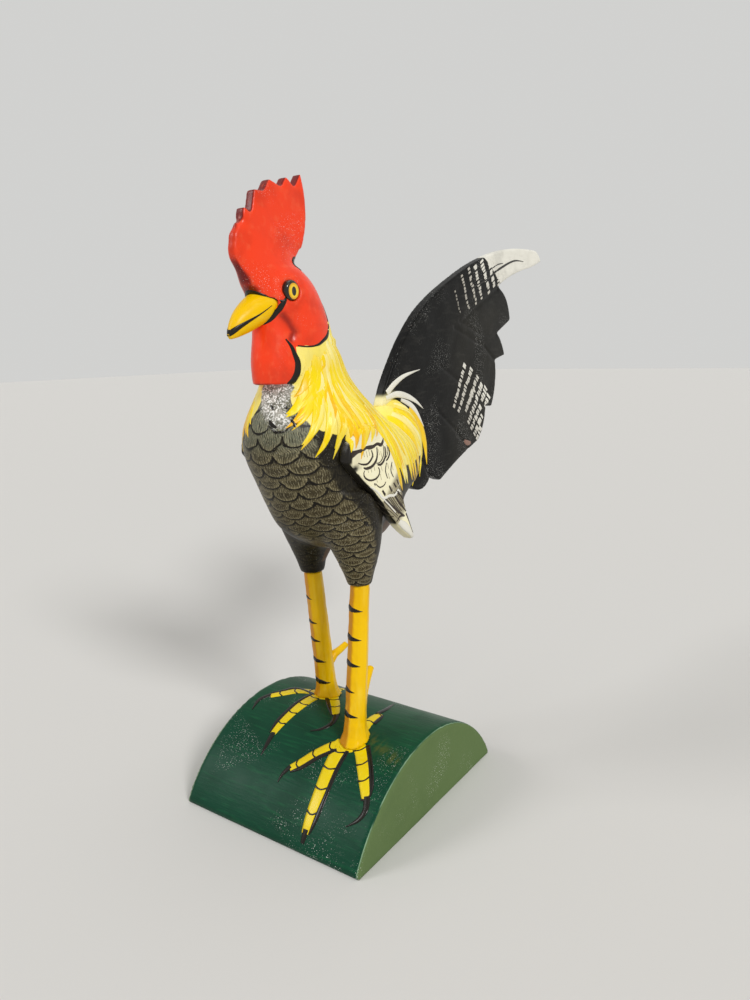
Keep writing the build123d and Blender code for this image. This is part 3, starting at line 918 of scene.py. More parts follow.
def feather_paint():
    """Grey scalloped feathers, with the neck's yellow ground, and dark paint and painted shade by the wings
    and far thigh.
    """
    chips = box()
    made = Paint("breast_feathers", gloss=0.34, coat=0.0, shine=0.16)
    inputs = {"Vector": made.flat("feathers"), "Tip": 0.72, "Line": 0.1, "Wobble": 0.42}
    scales = use(made.tree, "Feather scales", inputs)
    silver = mix(step(noise(made.vector, SILVER_SCALE), *SOFT_EDGE), DULL_SILVER, chips.throat)
    tone = mix(made.kept("warm"), chips.breast, WARM_GREY)
    for cover, chip in (
        (scales["End"], chips.breast_light),
        (step(noise(made.vector, GREY_SCALE), *GREY_FADE) * 0.4, PATCH_GREY),
        (made.kept("pale") * 0.6, PALE_GREY),
        (scales["Chance"] * 0.3, chips.breast_dark),
        (scales["Hatch"] * 0.9, chips.breast_dark),
        (scales["Barb"] * 0.65, BARB_LIGHT),
        (scales["Shade"] * 0.7, chips.dark_paint_and_shade),
        (made.kept("warm") * 0.2, WARM_SHADE),
        (scales["Outline"], chips.outline),
        # Painted shade on the far thigh
        (made.kept("far_thigh_shade") * 0.85, chips.dark_paint_and_shade),
        # Dark paint, with painted shade under the wing's edge
        (step(frayed(made, "dark", BODY_FRAY), *BROKEN_EDGE) * 0.93, chips.dark_paint_and_shade),
        (step(frayed(made, "rump", BODY_FRAY), *BROKEN_EDGE) * 0.9, chips.rump),
        (step(frayed(made, "throat", BODY_FRAY), *BROKEN_EDGE), silver),
        (step(frayed(made, "yellow", BODY_FRAY), *SOFT_EDGE), neck_yellow(made)),
    ):
        tone = mix(cover, tone, chip)
    coat = made.brush(tone, chips.dark_paint_and_shade, chips.breast_light, Shading=0.12, Lighting=0.1, Specks=0.2)
    glint = step(noise(made.vector, GLINT_SCALE), *GLINT_EDGE) * made.kept("throat")
    return made.finish(coat, 0.2, mix(glint * 0.9, coat["Colour"], SILVER_GLINT))


def red_paint():
    """Brushed red with painted shade, partly the comb's own dark red, at its front, creases and underside;
    yellow nape.
    """
    chips = box()
    made = Paint("comb_red_gloss", gloss=0.28)
    # Painted shade, partly the comb's own dark red, where the head is marked shade
    red = mix(made.kept("shade"), chips.comb_red, chips.comb_shade)
    looks = {"Bristles": (700, 260, 260), "Specks": 0.5, "Shading": 0.34}
    coat = made.brush(red, chips.comb_shade, chips.comb_light, **looks)
    nape = step(made.kept("nape"), *SHARP_EDGE)
    return made.finish(coat, 0.3, mix(nape, coat["Colour"], neck_yellow(made)))


def yellow_paint(name, bristles):
    """Yolk yellow, browner on the side that a piece marks as shade."""
    chips = box()
    made = Paint(name, gloss=0.27, coat=0.0, shine=0.18)
    tone = mix(made.kept("shade"), chips.yolk, chips.yolk_shade)
    coat = made.brush(tone, chips.yolk_shade, YOLK_LIGHT, Bristles=bristles, Shading=0.3, Lighting=0.3)
    return made.finish(coat, 0.2)


def eye_paint():
    """Black ring, yellow iris and black pupil, read from the button's own map."""
    chips = box()
    made = Paint("eye_enamel", gloss=0.14, coat=0.3, shine=0.4)
    spot = vectors("ADD", made.flat("button"), {1: EYE_SHIFT})
    radius = vectors("LENGTH", spot, pick="Value")
    pupil = vectors("LENGTH", stretched(spot, PUPIL_SHAPE), pick="Value")
    tone = mix(step(radius, *IRIS_RING), IRIS, IRIS_RIM)
    tone = mix(step(pupil, *PUPIL_RING), chips.outline, tone)
    tone = mix(step(radius, *BLACK_RING), tone, chips.outline)
    return made.finish(made.brush(tone, chips.outline, IRIS_LIGHT, Shading=0.05, Lighting=0.05), 0.05)


def wing_paint():
    """Cream wings, grey and streaked towards the flight feathers."""
    chips = box()
    made = Paint("wing_cream", gloss=0.3)
    tone = mix(made.kept("quill"), chips.wing, chips.wing_shade)
    looks = {"Bristles": (300, 500, 500), "Shading": 0.3, "Lighting": 0.3, "Specks": 0.2}
    coat = made.brush(tone, chips.wing_shade, WING_LIGHT, **looks)
    # Dark front, and painted shade on the under edge
    tone = mix(step(frayed(made, "dark", WING_FRAY), *BROKEN_EDGE), coat["Colour"], chips.dark_paint_and_shade)
    return made.finish(coat, 0.2, mix(made.kept("yellow"), tone, chips.hackle_mid))


def tail_paint():
    """Glossy black, lighter grey on the lower feathers, and white at the sickle's end."""
    chips = box()
    made = Paint("tail_black_gloss", gloss=0.34, coat=0.0, shine=0.12)
    tone = mix(made.kept("lower_grey") * noise(made.vector, LOWER_GREY_SCALE, 3.0), chips.tail, chips.tail_lower_grey)
    streaks = noise(stretched(made.vector, STREAK_GRAIN), 1.0, 3.0)
    white = step((streaks - 0.5) * 0.5 + made.kept("white"), *SOFT_EDGE)
    tone = mix(white, tone, chips.white)
    pale = Vector(chips.hackle_pale).lerp(Vector(chips.white), TONGUE_WHITE)
    tone = mix(made.kept("saddle"), tone, pale)
    looks = {"Bristles": (300, 90, 420), "Shading": 0.2, "Lighting": 0.12, "Specks": 0.8}
    return made.finish(made.brush(tone, chips.tail, TAIL_LIGHT, **looks), 0.45)


def stroke_paint(name, low, middle, high, gloss=0.28):
    """Brush strokes whose tint runs through three colours."""
    made = Paint(name, gloss=gloss)
    tint = made.kept("tint")
    tone = mix(step(tint, 0.0, 0.5), low, middle)
    tone = mix(step(tint, 0.5, 1.0), tone, high)
    return made.finish(made.brush(tone, low, high, Shading=0.2, Lighting=0.2, Bristles=(500, 500, 120)), 0.2)


def dowel_wood():
    """Bare dowel, with its grain along the bird's width."""
    made = Paint("bare_dowel", gloss=0.6, coat=0.0)
    looks = {"Bristles": (90, 900, 900), "Shading": 0.6, "Lighting": 0.5}
    return made.finish(made.brush(box().dowel, DOWEL_SHADE, DOWEL_LIGHT, **looks), 0.3)


# Block

BLOCK_COARSENESS = 1.2
SMEAR = ((29, -14.5), (35, -19), (46, -22))
SMEAR_REACH = 3.4
SMEAR_STRENGTH = 0.5


class GAMECOCK_OT_block(bpy.types.Operator):
    """Round and paint the half-round block"""

    bl_idname = "gamecock.block"
    bl_label = "Block"

    def execute(self, context):
        looks = {"soften": 2, "marks": 0.25 * MM, "mark_size": 22}
        piece = carved("block", ["base_block"], sizes().body_voxel * BLOCK_COARSENESS, **looks)
        keep_inside(piece.data, "base_block")
        away = line_distance(places(piece.data)[:, :2], SMEAR)
        mark(piece.data, "smear", SMEAR_STRENGTH * bell(away, SMEAR_REACH))
        settle(piece, block_paint(), "green_paint", "base_block")
        return {"FINISHED"}


# Fillers where pieces run together under the paint: height, X and Y of the middle, half width, front, back

COMB_ROOT = (
    (236, 0, -37, 9.5, 12, 11), (246, 0, -39, 6.6, 15, 12), (255, 0, -40, 4.2, 17, 14.5),
    (265, 0, -38, 2.6, 19, 18),
)
CHIN = ((210, 0, -32, 12, 15, 4), (222, 0, -32, 11, 15.3, 4), (233, 0, -34, 9, 13, 4))
HEAD_PLUG = (
    (209, 0, -23, 11.6, 16.6, 18), (213, 0, -23.6, 12.9, 17.9, 19.3), (220, 0, -24, 13.2, 18.2, 19.6)
)
NECK_PLUG = (
    (213, 0, -24, 13.2, 18.2, 19.6), (219.5, 0, -24, 12.8, 17.8, 19.3), (224, 0, -24, 10.8, 15.5, 17)
)
RIGHT_GROIN = (
    (114, -17, 2, 8, 10, 6), (120, -16.5, 2, 10, 13, 8), (128, -15, 0.5, 12.5, 16, 8),
    (138, -15, -1, 14, 20, 8), (146, -13, -1, 12, 20, 8),
)

# Rows of breast feathers: the body's middle and the thighs', and the pitch of the rows at two heights

BODY_AXIS = ((108, 4), (150, 0), (180, -12), (217, -24))
THIGH_FROM = (140, 122)
THIGH_X = 18
THIGH_STRIDE = 8
THIGH_WRAP = 0.45
THIGH_TURN = 0.9
BREAST_WIDEN = 0.3
ROW_LOW = (110, 3.2)
ROW_HIGH = (178, 6.0)
ROW_FINEST = 2.0
ROW_RISE = 0.22
ROW_RISE_FROM = (120, 150)
ROWS_AT_LOW = 60


def feather_map(mesh):
    """Lay the rows of breast feathers over the body: round it by angle, and down it by a growing pitch."""
    x, y, z = places(mesh).T
    side = np.sign(x)
    thigh = smoothstep(*THIGH_FROM, z)
    middle = read(BODY_AXIS, z) - side * THIGH_STRIDE * thigh
    across = (x - side * THIGH_X * thigh) * (1 + BREAST_WIDEN * (1 - thigh))
    angle = np.arctan2(across, middle - y) * (1 - THIGH_WRAP * thigh) + side * thigh * THIGH_TURN
    rise = z - ROW_RISE * (y - middle) * smoothstep(*ROW_RISE_FROM, z)
    growth = (ROW_HIGH[1] - ROW_LOW[1]) / (ROW_HIGH[0] - ROW_LOW[0])
    pitch = np.maximum(ROW_LOW[1] + growth * (rise - ROW_LOW[0]), ROW_FINEST)
    down = ROWS_AT_LOW - np.log(pitch / ROW_LOW[1]) / growth
    used = corners(mesh)
    turn = angle[used] / (2 * math.pi)
    starts = np.empty(len(mesh.polygons), np.int32)
    mesh.polygons.foreach_get("loop_start", starts)
    highest = np.repeat(np.maximum.reduceat(turn, starts), np.diff(np.append(starts, len(used))))
    turn = np.where(highest - turn > 0.5, turn + 1, turn)
    lay_map(mesh, "feathers", np.stack([turn * sizes().scale_count, down[used]], axis=1))
    return np.degrees(angle)


# Body: how it is rounded, and where its grounds of yellow, dark paint and painted shade, brown and silver lie
# and fade

GROIN = (120, 150)
GROIN_RUBS = 40
THIGH_END = 114
THIGH_SLIM = 0.12
THIGH_SLIM_FROM = (126, 112)
# The dip before the tail as the photograph shows it, in the middle plane, and how its line of sight runs
VALLEY = ((18, 201), (26, 193.2), (33.5, 185.5), (36, 187.5), (42, 191.7), (44, 199))
VALLEY_FLOOR = 184
OPEN_AIR = 300
SIGHT_SLANT = 1.43
SIGHT_RISE = 0.35
SHOULDER = ((172, 0), (174, 28), (178, 30.2), (183.5, 29.8), (187, 26.6), (190, 23.4), (194, 19), (196, 0))
SHOULDER_FRONT = (-35, -27)
SHOULDER_BACK = (16, -8)
RUMP_FROM = 20
RUMP_TUCK = 0.4
RUMP_LOW = (120, 132)
RUMP_HIGH = (153, 143)
BACK_RUB = (-38, 50)
BACK_RUB_ABOVE = 172
BACK_RUBS = 10
HACKLE_LINE = (
    (-180, 188), (-140, 186), (-100, 182), (-70, 179), (-40, 180.5), (-24, 184), (-15, 187), (-10, 190),
    (-6, 196), (-4, 206), (18, 206), (22, 200), (26, 197), (32, 193), (40, 187), (55, 181.5), (70, 180),
    (100, 183), (140, 187), (180, 189),
)
HACKLE_EDGE = (-2.5, 2.5)
SADDLE_FRONT = ((150, 13), (161, 5), (173, -3), (182, -8), (190, -8))
SADDLE_EDGE = (-2, 2)
SADDLE_LOW = (158, 163)
DARK_FROM = ((110, -9), (126, -10), (137, -12), (144, -17), (153, -24), (162, -31), (172, -38))
DARK_EDGE = (-6, 6)
DARK_STRIDE = 11
DARK_STRIDE_BELOW = (150, 132)
THIGH_HEM = (112, 108)
FAR_THIGH = (146, 134)
WARM_BELOW = (170, 140)
BROWN_BELOW = (146, 138)
INNER_THIGH = (12, 9)
INNER_EDGE = (-1.5, 1.5)
INNER_STRIDE = 12
UNDER_TAIL = (6, 14)
UNDER_STRIDE = 5
THROAT_MIDDLE = ((186, 9.6), (192, 4), (200, 2.7))
THROAT_REACH = ((184, 3), (186, 4), (192, 4.6), (200, 6.8), (204, 5), (209, 0))
THROAT_EDGE = (2.6, -1.8)
THROAT_LOW = (182, 188)
THROAT_FRONT = (-28, -33)
PALE_ABOVE = (170, 182)
PALE_FRONT = (-20, -30)


def shape_body(mesh):
    """Round the belly into the thighs, and shape thighs, shoulders, rump and the dip before the tail."""
    soften_where(mesh, between(*GROIN, places(mesh)[:, 2]), GROIN_RUBS)
    co = places(mesh)
    x, y, z = co.T
    for side in SIDES:
        own = side * x > 0
        middle = co[own & (z < THIGH_END), :2].mean(0)
        slim = THIGH_SLIM * smoothstep(*THIGH_SLIM_FROM, z) * own
        co[:, :2] -= slim[:, None] * (co[:, :2] - middle)
    over = np.zeros(len(co))
    for side in SIDES:
        limit = read(VALLEY, y + side * SIGHT_SLANT * x, OPEN_AIR) + side * SIGHT_RISE * x
        over = np.maximum(over, z - np.maximum(limit, VALLEY_FLOOR))
    wide = read(SHOULDER, z) * smoothstep(*SHOULDER_FRONT, y) * smoothstep(*SHOULDER_BACK, y)
    co[:, 0] = np.sign(x) * np.maximum(np.abs(x), wide)
    tuck = RUMP_TUCK * np.maximum(y - RUMP_FROM, 0) * smoothstep(*RUMP_LOW, z) * smoothstep(*RUMP_HIGH, z)
    move(mesh, co - np.stack([0 * y, tuck, over], axis=1))
    soften_where(mesh, between(*BACK_RUB, y) & (z > BACK_RUB_ABOVE), BACK_RUBS)


def mark_body(mesh):
    """Lay the rows of feathers, and mark where the other grounds lie."""
    turn = feather_map(mesh)
    x, y, z = places(mesh).T
    right = x < 0
    hackle = smoothstep(*HACKLE_EDGE, z - read(HACKLE_LINE, turn))
    saddle = smoothstep(*SADDLE_EDGE, y - read(SADDLE_FRONT, z)) * smoothstep(*SADDLE_LOW, z)
    stride = DARK_STRIDE * right * smoothstep(*DARK_STRIDE_BELOW, z)
    dark = smoothstep(*DARK_EDGE, y - read(DARK_FROM, z) - stride)
    brown = smoothstep(*BROWN_BELOW, z)
    inner = smoothstep(*INNER_THIGH, np.abs(x)) * smoothstep(*INNER_EDGE, y + INNER_STRIDE * (x > 0))
    under = smoothstep(*UNDER_TAIL, y - UNDER_STRIDE * right)
    throat = smoothstep(*THROAT_EDGE, np.abs(x - read(THROAT_MIDDLE, z)) - read(THROAT_REACH, z))
    throat = throat * smoothstep(*THROAT_LOW, z) * smoothstep(*THROAT_FRONT, y)
    # Dark behind the breast and at the thighs' lower ends: dark paint, with painted shade under the wing's
    # edge
    mark(mesh, "dark", np.maximum(dark, smoothstep(*THIGH_HEM, z)))
    # Painted shade on the far thigh
    mark(mesh, "far_thigh_shade", right * smoothstep(*FAR_THIGH, z))
    mark(mesh, "warm", smoothstep(*WARM_BELOW, z))
    mark(mesh, "rump", np.maximum(inner, under) * brown)
    mark(mesh, "throat", throat)
    mark(mesh, "pale", smoothstep(*PALE_ABOVE, z) * smoothstep(*PALE_FRONT, y))
    mark(mesh, "yellow", np.maximum(hackle * (1 - throat), saddle))


class GAMECOCK_OT_body(bpy.types.Operator):
    """Carve the body and lay its rows of feathers"""

    bl_idname = "gamecock.body"
    bl_label = "Body"

    def execute(self, context):
        nodes = ["body", "tail_pins"]
        looks = {"soften": 5, "marks": sizes().knife_marks, "fillers": (NECK_PLUG, RIGHT_GROIN)}
        piece = carved("carved_body", nodes, sizes().body_voxel, **looks)
        shape_body(piece.data)
        mark_body(piece.data)
        settle(piece, feather_paint(), "feather_paint", "body")
        return {"FINISHED"}


# Head: how the comb, the forehead and the bib are rounded, and where the nape and the painted shade lie

COMB_ABOVE = 262
COMB_RUBS = 6
COMB_MIDDLE = -38
COMB_SPREAD = 0.065
COMB_SPREAD_FROM = (246, 256)
COMB_RISE = 0.5
COMB_RISE_FROM = (266, 286)
CROWN = (238, 266)
CROWN_LENGTH = (-62, -22)
CROWN_HALF = 10
CROWN_RUBS = 30
FOREHEAD = 2.0
FOREHEAD_LOW = (236, 242)
FOREHEAD_HIGH = (258, 250)
FOREHEAD_FRONT = (-44, -52)
BIB = (213, 231)
BIB_FRONT = -33
BIB_RUBS = 60
BIB_SLIM = 0.1
BIB_SLIM_BELOW = (232, 226)
BIB_SLIM_FRONT = (-33, -38)
CHEEK_CREASE = ((-42, 229.5), (-39, 226.7), (-36.7, 223), (-38.6, 220))
CREASE_REACH = 1.3
CREASE_DEPTH = 0.7
CREASE_SHADE = 0.75
CHEEK_FACING = 0.3
FACE_BORDER = ((217, -37), (217.4, -26), (222, -18), (228, -14), (236, -13.4), (242, -16))
FACE_EDGE = (-0.4, 0.4)
NAPE_TOP = 242
FRONT_SHADE_FACING = (0.75, 0.35)
FRONT_SHADE_FORWARD = (0.2, -0.3)
FRONT_SHADE_ABOVE = (238, 243)
FRONT_SHADE_GAP_LOW = (248, 252)
FRONT_SHADE_GAP_HIGH = (264, 261)
FRONT_SHADE_GAP = 0.8
UNDER_SHADE_FACING = (-0.3, -0.7)
UNDER_SHADE_FRONT = (-44, -50)


def mark_head(mesh):
    """Crease the cheek, round the comb into the crown and mark the nape and the painted shade."""
    x, y, z = places(mesh).T
    soften_where(mesh, z > COMB_ABOVE, COMB_RUBS)
    soften_where(mesh, between(*CROWN, z) & between(*CROWN_LENGTH, y) & (np.abs(x) < CROWN_HALF), CROWN_RUBS)
    soften_where(mesh, between(*BIB, z) & (y < BIB_FRONT), BIB_RUBS)
    co = places(mesh)
    x, y, z = co.T
    y += COMB_SPREAD * smoothstep(*COMB_SPREAD_FROM, z) * (y - COMB_MIDDLE)
    z += COMB_RISE * smoothstep(*COMB_RISE_FROM, z)
    fore = smoothstep(*FOREHEAD_LOW, z) * smoothstep(*FOREHEAD_HIGH, z) * smoothstep(*FOREHEAD_FRONT, y)
    y -= FOREHEAD * fore
    x *= 1 - BIB_SLIM * smoothstep(*BIB_SLIM_BELOW, z) * smoothstep(*BIB_SLIM_FRONT, y)
    move(mesh, co)
    out = normals(mesh)
    crease = bell(line_distance(co[:, 1:], CHEEK_CREASE), CREASE_REACH) * (np.abs(out[:, 0]) > CHEEK_FACING)
    move(mesh, co - CREASE_DEPTH * crease[:, None] * out)
    mark(mesh, "nape", smoothstep(*FACE_EDGE, y - read(FACE_BORDER, z)) * (z < NAPE_TOP))
    # Painted shade, partly the comb's own dark red: faces towards the front, the cheek crease and the face's
    # underside
    front_shade = smoothstep(*FRONT_SHADE_FACING, np.abs(out[:, 0])) * smoothstep(*FRONT_SHADE_ABOVE, z)
    front_shade *= smoothstep(*FRONT_SHADE_FORWARD, out[:, 1])
    front_shade *= 1 - FRONT_SHADE_GAP * smoothstep(*FRONT_SHADE_GAP_LOW, z) * smoothstep(*FRONT_SHADE_GAP_HIGH, z)
    under = smoothstep(*UNDER_SHADE_FACING, out[:, 2]) * smoothstep(*UNDER_SHADE_FRONT, y)
    mark(mesh, "shade", np.clip(np.maximum.reduce([front_shade, CREASE_SHADE * crease, under]), 0, 1))


class GAMECOCK_OT_head(bpy.types.Operator):
    """Carve the head, comb and wattle as they look under one coat of red"""

    bl_idname = "gamecock.head"
    bl_label = "Head"

    def execute(self, context):
        nodes = ["head", "comb", "wattle"]
        looks = {"marks": 0.35 * MM, "mark_size": 9, "fillers": (COMB_ROOT, CHIN, HEAD_PLUG)}
        piece = carved("red_head", nodes, sizes().small_voxel, **looks)
        mark_head(piece.data)
        settle(piece, red_paint(), "red_paint", "head", "comb", "wattle")
        return {"FINISHED"}


# Beak and eyes

BEAK_COARSENESS = 0.8
EYE_VOXEL = 0.22


class GAMECOCK_OT_beak(bpy.types.Operator):
    """Carve and paint the beak"""

    bl_idname = "gamecock.beak"
    bl_label = "Beak"

    def execute(self, context):
        looks = {"soften": 4, "marks": 0.2 * MM, "mark_size": 6}
        piece = carved("carved_beak", ["beak"], sizes().small_voxel * BEAK_COARSENESS, **looks)
        settle(piece, yellow_paint("beak_yellow", (300, 80, 300)), "yellow_paint", "beak")
        return {"FINISHED"}


def button_map(mesh):
    """Flat map of an eye button, in millimetres from its middle."""
    co = places(mesh)
    middle = (co.min(0) + co.max(0)) / 2
    lay_map(mesh, "button", (co - middle)[corners(mesh)][:, 1:])


class GAMECOCK_OT_eyes(bpy.types.Operator):
    """Round and paint the eye buttons"""

    bl_idname = "gamecock.eyes"
    bl_label = "Eyes"

    def execute(self, context):
        enamel = eye_paint()
        for name in ("left_eye", "right_eye"):
            piece = carved(name + "_button", [name], EYE_VOXEL * MM)
            button_map(piece.data)
            settle(piece, enamel, "eye_paint", name)
        return {"FINISHED"}


# Wings: how far along their slant each ground lies, the painted shade on their under edge, and their dark
# front and yellow shoulder

WING_ROOT = (-5, 150)
WING_SLANT = 0.7
WING_DRAW_FROM = 16
WING_DRAW = (0, 0.16, -0.1)
QUILL_FROM = (-1, 2)
QUILL_TO = (19, 16)
WING_SHADE_FACING = (0.35, 0.75)
WING_SHADE_TO = (19, 15)
WING_DARK = ((156, -31), (160, -30.2), (165, -29), (170, -28.4), (179, -28))
WING_DARK_EDGE = (2.2, -1.8)
WING_SMEAR = (-26.6, 166)
WING_SMEAR_REACH = (5, 3.4)
WING_SMEAR_STRENGTH = 0.62
WING_YELLOW = ((-37, 179.4), (-31, 179.4), (-26, 180.4), (-20, 180), (-14, 181), (-9.4, 182), (-4, 183))
WING_YELLOW_EDGE = (-0.8, 0.8)


def mark_wing(mesh):
    """Draw out a wing's tip, and mark its flight feathers, the painted shade on its under edge, its dark
    front and yellow shoulder.
    """
    co = places(mesh)
    y, z = co[:, 1:].T
    along = WING_SLANT * ((y - WING_ROOT[0]) - (z - WING_ROOT[1]))
    move(mesh, co + np.maximum(along - WING_DRAW_FROM, 0)[:, None] * np.array(WING_DRAW))
    # Painted shade on the faces that look down
    under = smoothstep(*WING_SHADE_FACING, -normals(mesh)[:, 2]) * smoothstep(*WING_SHADE_TO, along)
    front = smoothstep(*WING_DARK_EDGE, y - read(WING_DARK, z))
    smear = bell(y - WING_SMEAR[0], WING_SMEAR_REACH[0]) * bell(z - WING_SMEAR[1], WING_SMEAR_REACH[1])
    mark(mesh, "quill", smoothstep(*QUILL_FROM, along) * smoothstep(*QUILL_TO, along))
    mark(mesh, "dark", np.maximum.reduce([under, front, WING_SMEAR_STRENGTH * smear]))
    mark(mesh, "yellow", smoothstep(*WING_YELLOW_EDGE, z - read(WING_YELLOW, y)))


class GAMECOCK_OT_wings(bpy.types.Operator):
    """Carve and paint the wings"""

    bl_idname = "gamecock.wings"
    bl_label = "Wings"

    def execute(self, context):
        cream = wing_paint()
        for name in ("left_wing", "right_wing"):
            piece = carved("carved_" + name, [name], sizes().small_voxel, soften=3, marks=0.3 * MM)
            mark_wing(piece.data)
            settle(piece, cream, "cream_paint", name)
        return {"FINISHED"}


# Tail: the grooves between its feathers in side view, its blunt sickle and corner, and where its grounds lie

TAIL_GROOVES = (
    ((168, 250), (146, 241), (120, 229)),
    ((167, 222), (146, 222), (118, 230)),
    ((165, 206), (150, 215), (112, 226)),
    ((152, 179), (130, 190), (96, 205)),
    ((130, 153), (112, 168), (86, 184)),
    ((84, 143), (72, 158), (62, 172)),
)
GROOVE_REACH = 1.1
GROOVE_DEPTH = 0.4
BOARD_FACING = 0.6
SICKLE_MIDDLE = 271.8
SICKLE_BLUNT = 0.16
SICKLE_FROM = (205, 226)
SICKLE_TO = (238, 231)
TAIL_CORNER = (1.6, 5.0)
CORNER_BEFORE = (50, 38)
CORNER_HIGH = (198, 186)
CORNER_LOW = (179, 184)
LOWER_GREY_FROM = (90, 130)
LOWER_GREY_BELOW = (250, 225)
LOWER_GREY_RISE = 0.15
LOWER_GREY_ORIGIN = 120
WHITE_FROM = ((250, 175), (254, 172.6), (262, 161), (268, 149))
WHITE_EDGE = (-5, 3)
WHITE_ABOVE = 249
TONGUE_BELOW = (192.5, 190)
TONGUE_BEFORE = (50, 44)
TONGUE_RISE = 0.2
TONGUE_ORIGIN = 36


def mark_tail(mesh):
    """Groove the tail between its feathers, and mark the lower grey, the white and the yellow parts."""
    co = places(mesh)
    out = normals(mesh)
    deep = np.zeros(len(co))
    for groove in TAIL_GROOVES:
        deep = np.maximum(deep, bell(line_distance(co[:, 1:], groove), GROOVE_REACH))
    co -= (GROOVE_DEPTH * deep * (np.abs(out[:, 0]) > BOARD_FACING))[:, None] * out
    y, z = co[:, 1:].T
    blunt = SICKLE_BLUNT * smoothstep(*SICKLE_FROM, y) * smoothstep(*SICKLE_TO, y) * (z - SICKLE_MIDDLE)
    corner = smoothstep(*CORNER_BEFORE, y) * smoothstep(*CORNER_HIGH, z) * smoothstep(*CORNER_LOW, z)
    y -= TAIL_CORNER[0] * corner
    z += blunt - TAIL_CORNER[1] * corner
    move(mesh, co)
    lower_grey = smoothstep(*LOWER_GREY_BELOW, z - LOWER_GREY_RISE * (y - LOWER_GREY_ORIGIN))
    tongue = smoothstep(*TONGUE_BELOW, z - TONGUE_RISE * (y - TONGUE_ORIGIN))
    mark(mesh, "lower_grey", smoothstep(*LOWER_GREY_FROM, y) * lower_grey)
    mark(mesh, "white", smoothstep(*WHITE_EDGE, y - read(WHITE_FROM, z)) * (z > WHITE_ABOVE))
    mark(mesh, "saddle", tongue * smoothstep(*TONGUE_BEFORE, y))


class GAMECOCK_OT_tail(bpy.types.Operator):
    """Carve and paint the tail board"""

    bl_idname = "gamecock.tail"
    bl_label = "Tail"

    def execute(self, context):
        piece = carved("carved_tail", ["tail"], sizes().board_voxel, soften=2, marks=0.4 * MM, mark_size=18)
        mark_tail(piece.data)
        settle(piece, tail_paint(), "black_paint", "tail")
        return {"FINISHED"}


# Legs and spurs

SPUR_COARSENESS = 0.6
FLARE = 0.22
FLARE_HEIGHT = 6
FLARE_FROM = (-0.8, 0)
FOOT_BELOW = 60
FOOT_NEAR = 4
NO_FLOOR = -1e3
SPUR_ROOT = {"left": 1.5, "right": 0.95}
SPUR_REACH = {"left": 1.8, "right": 0.0}
SPUR_TIP = 0.85
SPUR_DROOP = {"left": 0.0, "right": 0.7}
SPUR_BEND = 0.6
SPUR_LIFT = {"left": 0.6, "right": 2.4}
SPUR_LIFT_FROM = (0.1, 0.4)
SPUR_ENDS = 0.1
SHADED = (0.1, 0.8)


def flare_foot(mesh, ground):
    """Spread a leg's foot where it stands on the block."""
    co = places(mesh)
    low = co[:, 2] < FOOT_BELOW
    floor = np.full(len(co), NO_FLOOR)
    for k in np.flatnonzero(low):
        landing = ground.dropped(*from_above(*co[k, :2]))
        floor[k] = NO_FLOOR if landing is None else landing[2]
    above = co[:, 2] - floor
    middle = co[low & (np.abs(above) < FOOT_NEAR), :2].mean(0)
    spread = FLARE * np.clip(1 - above / FLARE_HEIGHT, 0, 1) ** 2 * smoothstep(*FLARE_FROM, above)
    co[:, :2] += spread[:, None] * (co[:, :2] - middle)
    move(mesh, co)


def shape_spur(mesh, side):
    """Thicken or slim a spur at its root, and let it reach, lift and droop."""
    co = places(mesh)
    y = co[:, 1]
    root = co[y < np.quantile(y, SPUR_ENDS)].mean(0)
    tip = co[y > np.quantile(y, 1 - SPUR_ENDS)].mean(0)
    run = tip - root
    along = np.clip((co - root) @ run / (run @ run), -SPUR_ENDS, 1 + SPUR_ENDS)
    axis = root + along[:, None] * run
    fullness = SPUR_ROOT[side] + (SPUR_TIP - SPUR_ROOT[side]) * along
    made = axis + fullness[:, None] * (co - axis)
    drop = SPUR_DROOP[side] * run[2] * along * (1 + SPUR_BEND * (1 - along))
    made[:, 2] += SPUR_LIFT[side] * smoothstep(*SPUR_LIFT_FROM, along) - drop
    made[:, 1] += SPUR_REACH[side] * along
    move(mesh, made)


class GAMECOCK_OT_legs(bpy.types.Operator):
    """Whittle and paint the legs and the spurs"""

    bl_idname = "gamecock.legs"
    bl_label = "Legs and spurs"

    def execute(self, context):
        yellow = yellow_paint("leg_yellow", (400, 400, 60))
        voxel = sizes().small_voxel
        for side in ("left", "right"):
            looks = {"soften": 4, "marks": 0.5 * MM, "mark_size": 7}
            leg = carved(f"whittled_{side}_leg", [side + "_leg"], voxel, **looks)
            with Canvas("block") as ground:
                flare_foot(leg.data, ground)
            shaded = normals(leg.data)[:, :2] @ -np.array(PICTURE_RIGHT)
            mark(leg.data, "shade", smoothstep(*SHADED, shaded))
            settle(leg, yellow, "yellow_paint", side + "_leg")
            spur = carved(f"whittled_{side}_spur", [side + "_spur"], voxel * SPUR_COARSENESS, soften=3)
            shape_spur(spur.data, side)
            settle(spur, yellow, "yellow_paint", side + "_spur")
        return {"FINISHED"}


# Hidden dowels

PIN_SINK = 2.5


class GAMECOCK_OT_dowels(bpy.types.Operator):
    """Give the hidden dowels their bare wood"""

    bl_idname = "gamecock.dowels"
    bl_label = "Hidden dowels"

    def execute(self, context):
        wood = dowel_wood()
        for name in ("neck_dowel", "left_wing_pins", "right_wing_pins"):
            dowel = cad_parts[name]
            dowel.data.materials.clear()
            dowel.data.materials.append(wood)
        pins = linked("sunk_tail_pins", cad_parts["tail_pins"].data.copy())
        co = places(pins.data)
        co[:, 0] *= 1 - PIN_SINK / np.abs(co[:, 0]).max()
        move(pins.data, co)
        settle(pins, wood, "bare_dowel", "tail_pins")
        return {"FINISHED"}


# Black lines of face and beak: (Y, Z, half width) in side view, (X, Z, half width) from front or back

